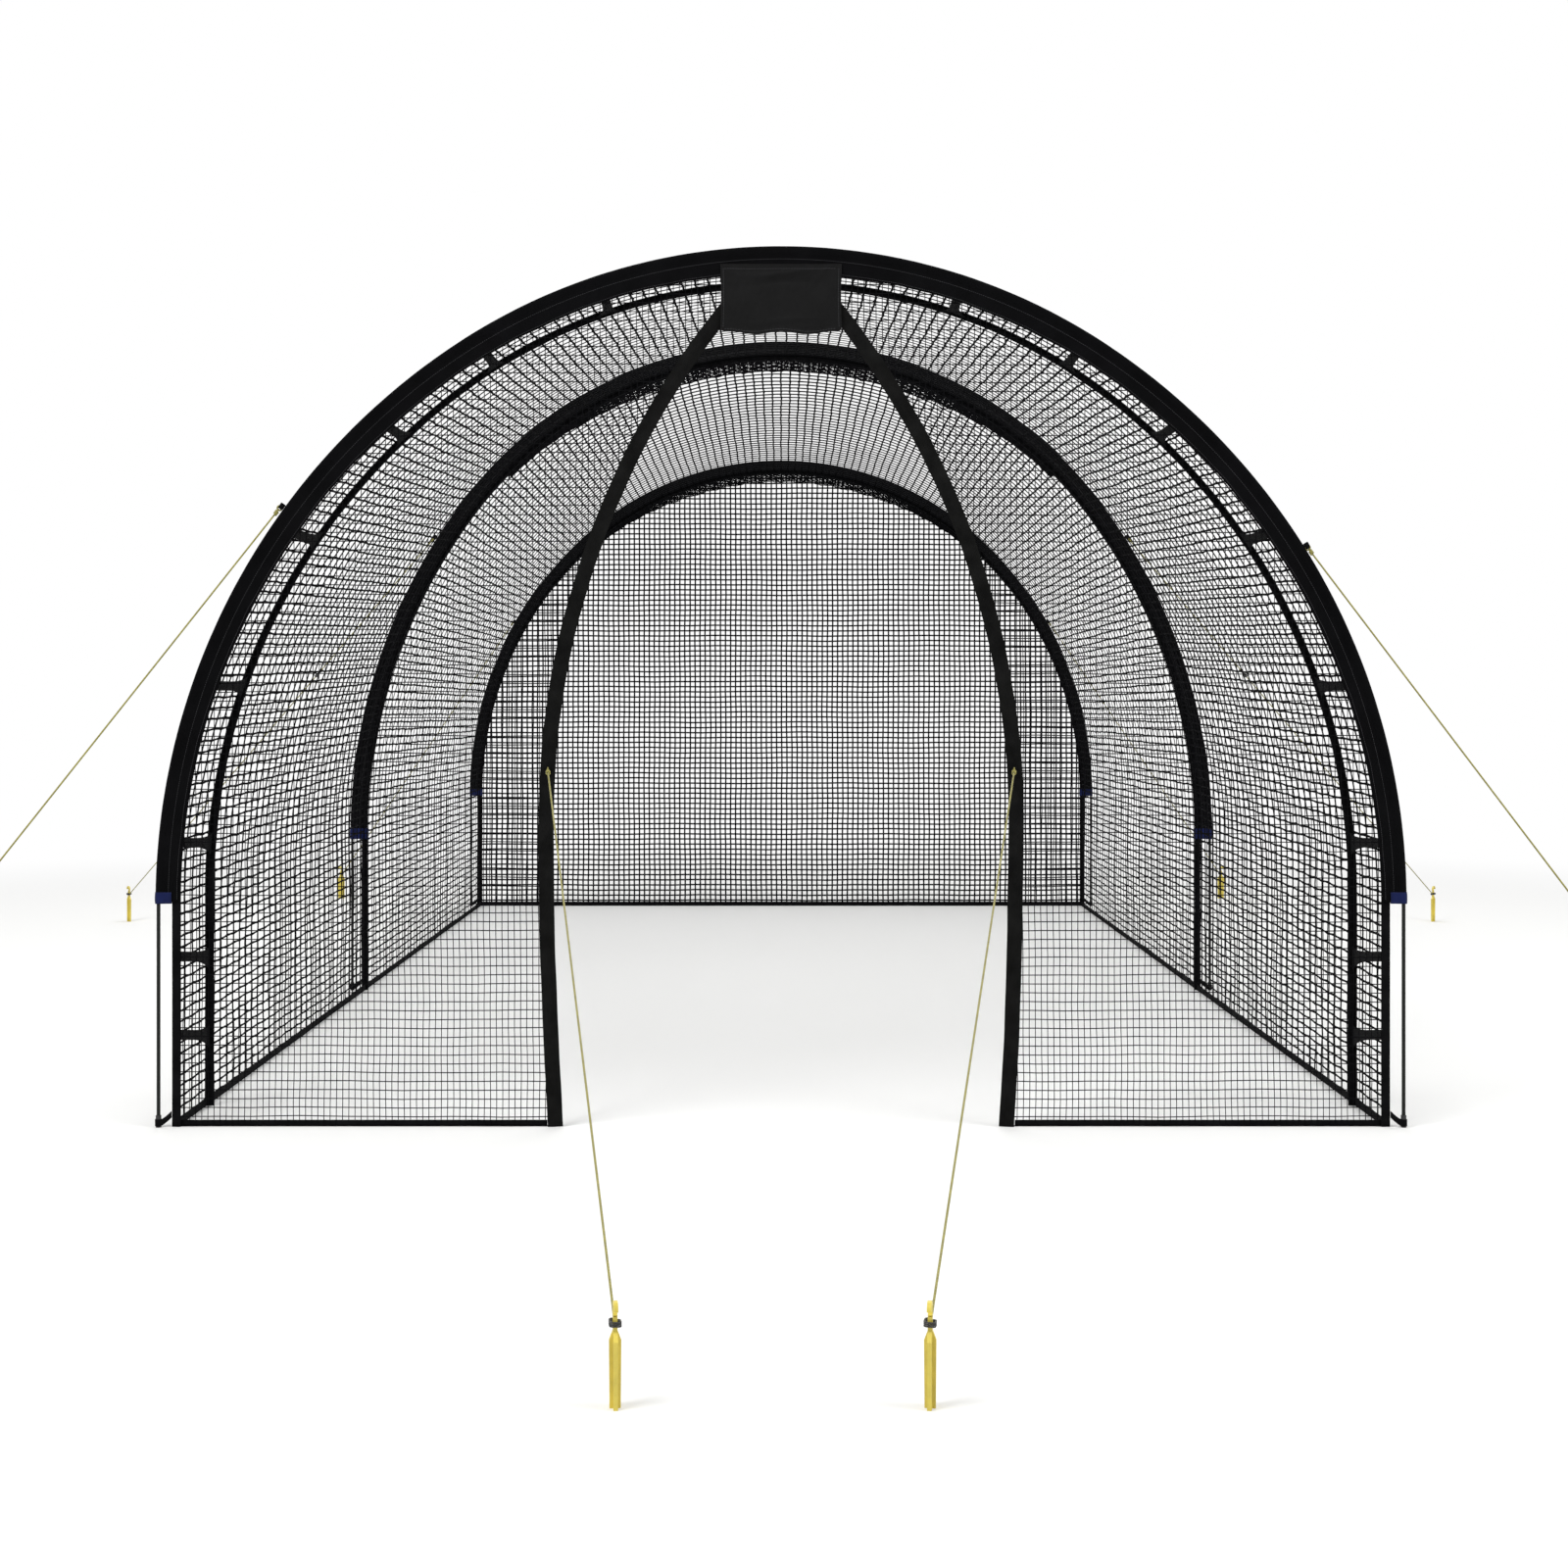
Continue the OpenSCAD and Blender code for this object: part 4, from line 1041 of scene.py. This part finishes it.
def make_flat_net(name, which, inside, upright, level, seed, mat):
    """Square netting in an upright plane behind a hoop, where inside(x, z) says."""
    y, hoop = HOOPS[which]
    fine, coarse, wander = 0.012, 0.07, 0.0028
    lines = []
    for x in np.arange(-HALF_W, HALF_W, upright[0]):
        z = np.arange(GROUND + 0.002, hoop[0], fine)
        xs = x + wander * ripple(z * 3.1, x * 2.3, seed + 1)
        for a, b in runs(inside(xs, z)):
            lines.append((xs[a : b + 1], z[a : b + 1], upright))
    for z in np.arange(GROUND + 0.003, hoop[0], level[0]):
        x = np.arange(-HALF_W, HALF_W, fine)
        zs = z + wander * ripple(x * 2.7, z * 2.9, seed + 2)
        zs = np.maximum(zs, GROUND + level[1] / 2 + 0.0005)
        for a, b in runs(inside(x, zs)):
            lines.append((x[a : b + 1], zs[a : b + 1], level))
    parts = []
    for x, z, twine in lines:
        t = np.linspace(0, len(x) - 1, max(int(len(x) * fine / coarse), 2) + 1)
        px, pz = (np.interp(t, np.arange(len(x)), values) for values in (x, z))
        wave = 0.0035 * ripple(px * 2.6, pz * 2.1, seed)
        line = np.stack([px, y + FLAT_NET_BEHIND + wave, pz], axis=-1)[None]
        parts.append(strands(line, TO_FRONT, *twine[1:]))
    shape = join_parts(parts)
    piece = make_piece(f"{name}_netting", shape, mat, "net", f"{name}_net", smooth=False)


def make_flat_nets(mat):
    in_back = functools.partial(in_arch, BACK_HOOP)
    make_flat_net("back", "back", in_back, BACK_TWINE, BACK_TWINE, 1.1, mat)
    for side, name in SIDES:
        beside = functools.partial(by_door, side)
        twines = (FRONT_UPRIGHT, FRONT_LEVEL)
        make_flat_net(f"{name}_front", "front", beside, *twines, 2.2 + side, mat)


GATHER_L, GATHER_D, GATHER_FULL = 2.70, 0.052, 1.8
GATHER_PITCH = 0.034
GATHER_INNER = 0.0725  # its upper edge, from the pole centre
GATHER_LEVEL, GATHER_UPRIGHT = (0.0046, 0.0024), (0.0042, 0.0024)


def gather_place(hoop, y, s, d):
    """The place at s along a gather and d below its upper edge. It gets shallow at its ends."""
    far = np.clip((np.abs(s - hoop_length(hoop) / 2) - 0.40) / 0.95, 0, 1)
    deep = (1 - 0.72 * ease(far)) * (0.93 + 0.07 * np.sin(s * 47))
    ruffle = np.sin(s * 2 * math.pi / GATHER_PITCH + 1.4 * np.sin(s * 9))
    ruffle = ruffle + 0.5 * ripple(s * 60, s, 3.3)
    x, z = hoop_point(hoop, s, -GATHER_INNER - d * deep)
    return np.stack([x, y - 0.007 + 0.0066 * d / GATHER_D * ruffle, z], axis=-1)


def make_gather(which, mat):
    """A ruffled strip of netting that hangs under the crown: close folds, deepest in its
    middle, and fuller at its edge."""
    y, hoop = HOOPS[which]
    n = 420
    s = hoop_length(hoop) / 2 + np.linspace(-0.5, 0.5, n) * GATHER_L
    depths = [
        0.002 + 0.0058 * k + 0.0014 * np.sin(s * 150 + 2.1 * k) * min(k, 1) for k in range(9)
    ]
    levels = np.array([gather_place(hoop, y, s, d) for d in depths])
    d = np.linspace(0, GATHER_D - 0.003, 5)
    lean = 0.30 * np.sin(np.arange(n) * 1.7)
    uprights = np.array([gather_place(hoop, y, s[k] + d * lean[k], d) for k in range(n)])
    parts, area = [], 0.0
    for lines, twine in ((levels, GATHER_LEVEL), (uprights, GATHER_UPRIGHT)):
        parts.append(strands(lines, TO_FRONT, *twine))
        area += float(np.linalg.norm(np.diff(lines, axis=1), axis=-1).sum()) * math.hypot(*twine)
    name, shape = f"{which}_gather", join_parts(parts)
    piece = make_piece(f"{name}_netting", shape, mat, "net", name, smooth=False)


def make_nets(mat):
    """Each bay's netting stops just clear of the sleeves' cloth and the edge tapes."""
    before = 0.0023
    make_bay_net("front", FRONT_Y + 0.0084, MIDDLE_Y - before, mat)
    make_bay_net("rear", MIDDLE_Y + 0.0051, BACK_Y - before, mat)
    make_flat_nets(mat)
    make_gather("middle", mat)
    make_gather("back", mat)


# ---- the CAD pieces that show ----


def paint_node(name, mat):
    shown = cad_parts[name]
    shown.data.materials.clear()
    shown.data.materials.append(mat)


def paint_cad(mats):
    for which in HOOPS:
        paint_node(f"{which}_leg_poles", mats["pole"])
        paint_node(f"{which}_poles", mats["pole"])
        paint_node(f"{which}_ferrules", mats["steel"])
    paint_node("foot_caps", mats["cap"])
    for name in ROUTES:
        paint_node(f"{name}_peg", mats["peg"])
    for _, side in SIDES:
        paint_node(f"{side}_slider", mats["slider"])


def main():
    bpy.context.scene.view_settings.view_transform = "Standard"
    make_camera()
    mats = make_materials()
    for name, route in ROUTES.items():
        make_rope(name, route, mats["rope"], mats["tie"])
    paint_cad(mats)
    for which in HOOPS:
        make_sleeve(which, mats["sleeve"])
        make_stitches(which, mats["thread"])
    make_bands(mats["band"])
    make_edge_tapes(mats["tape"])
    make_ring_tape(mats["tape"])
    make_tabs(mats["tape"])
    make_ground_tapes(mats["tape"])
    make_corner_straps(mats["tape"])
    make_door_tapes(mats["door"])
    make_header(mats["header"], mats["thread"])
    make_loops(mats["tape"])
    make_nets(mats["net"])
    make_stage()
    make_world()
    make_lights()


main()
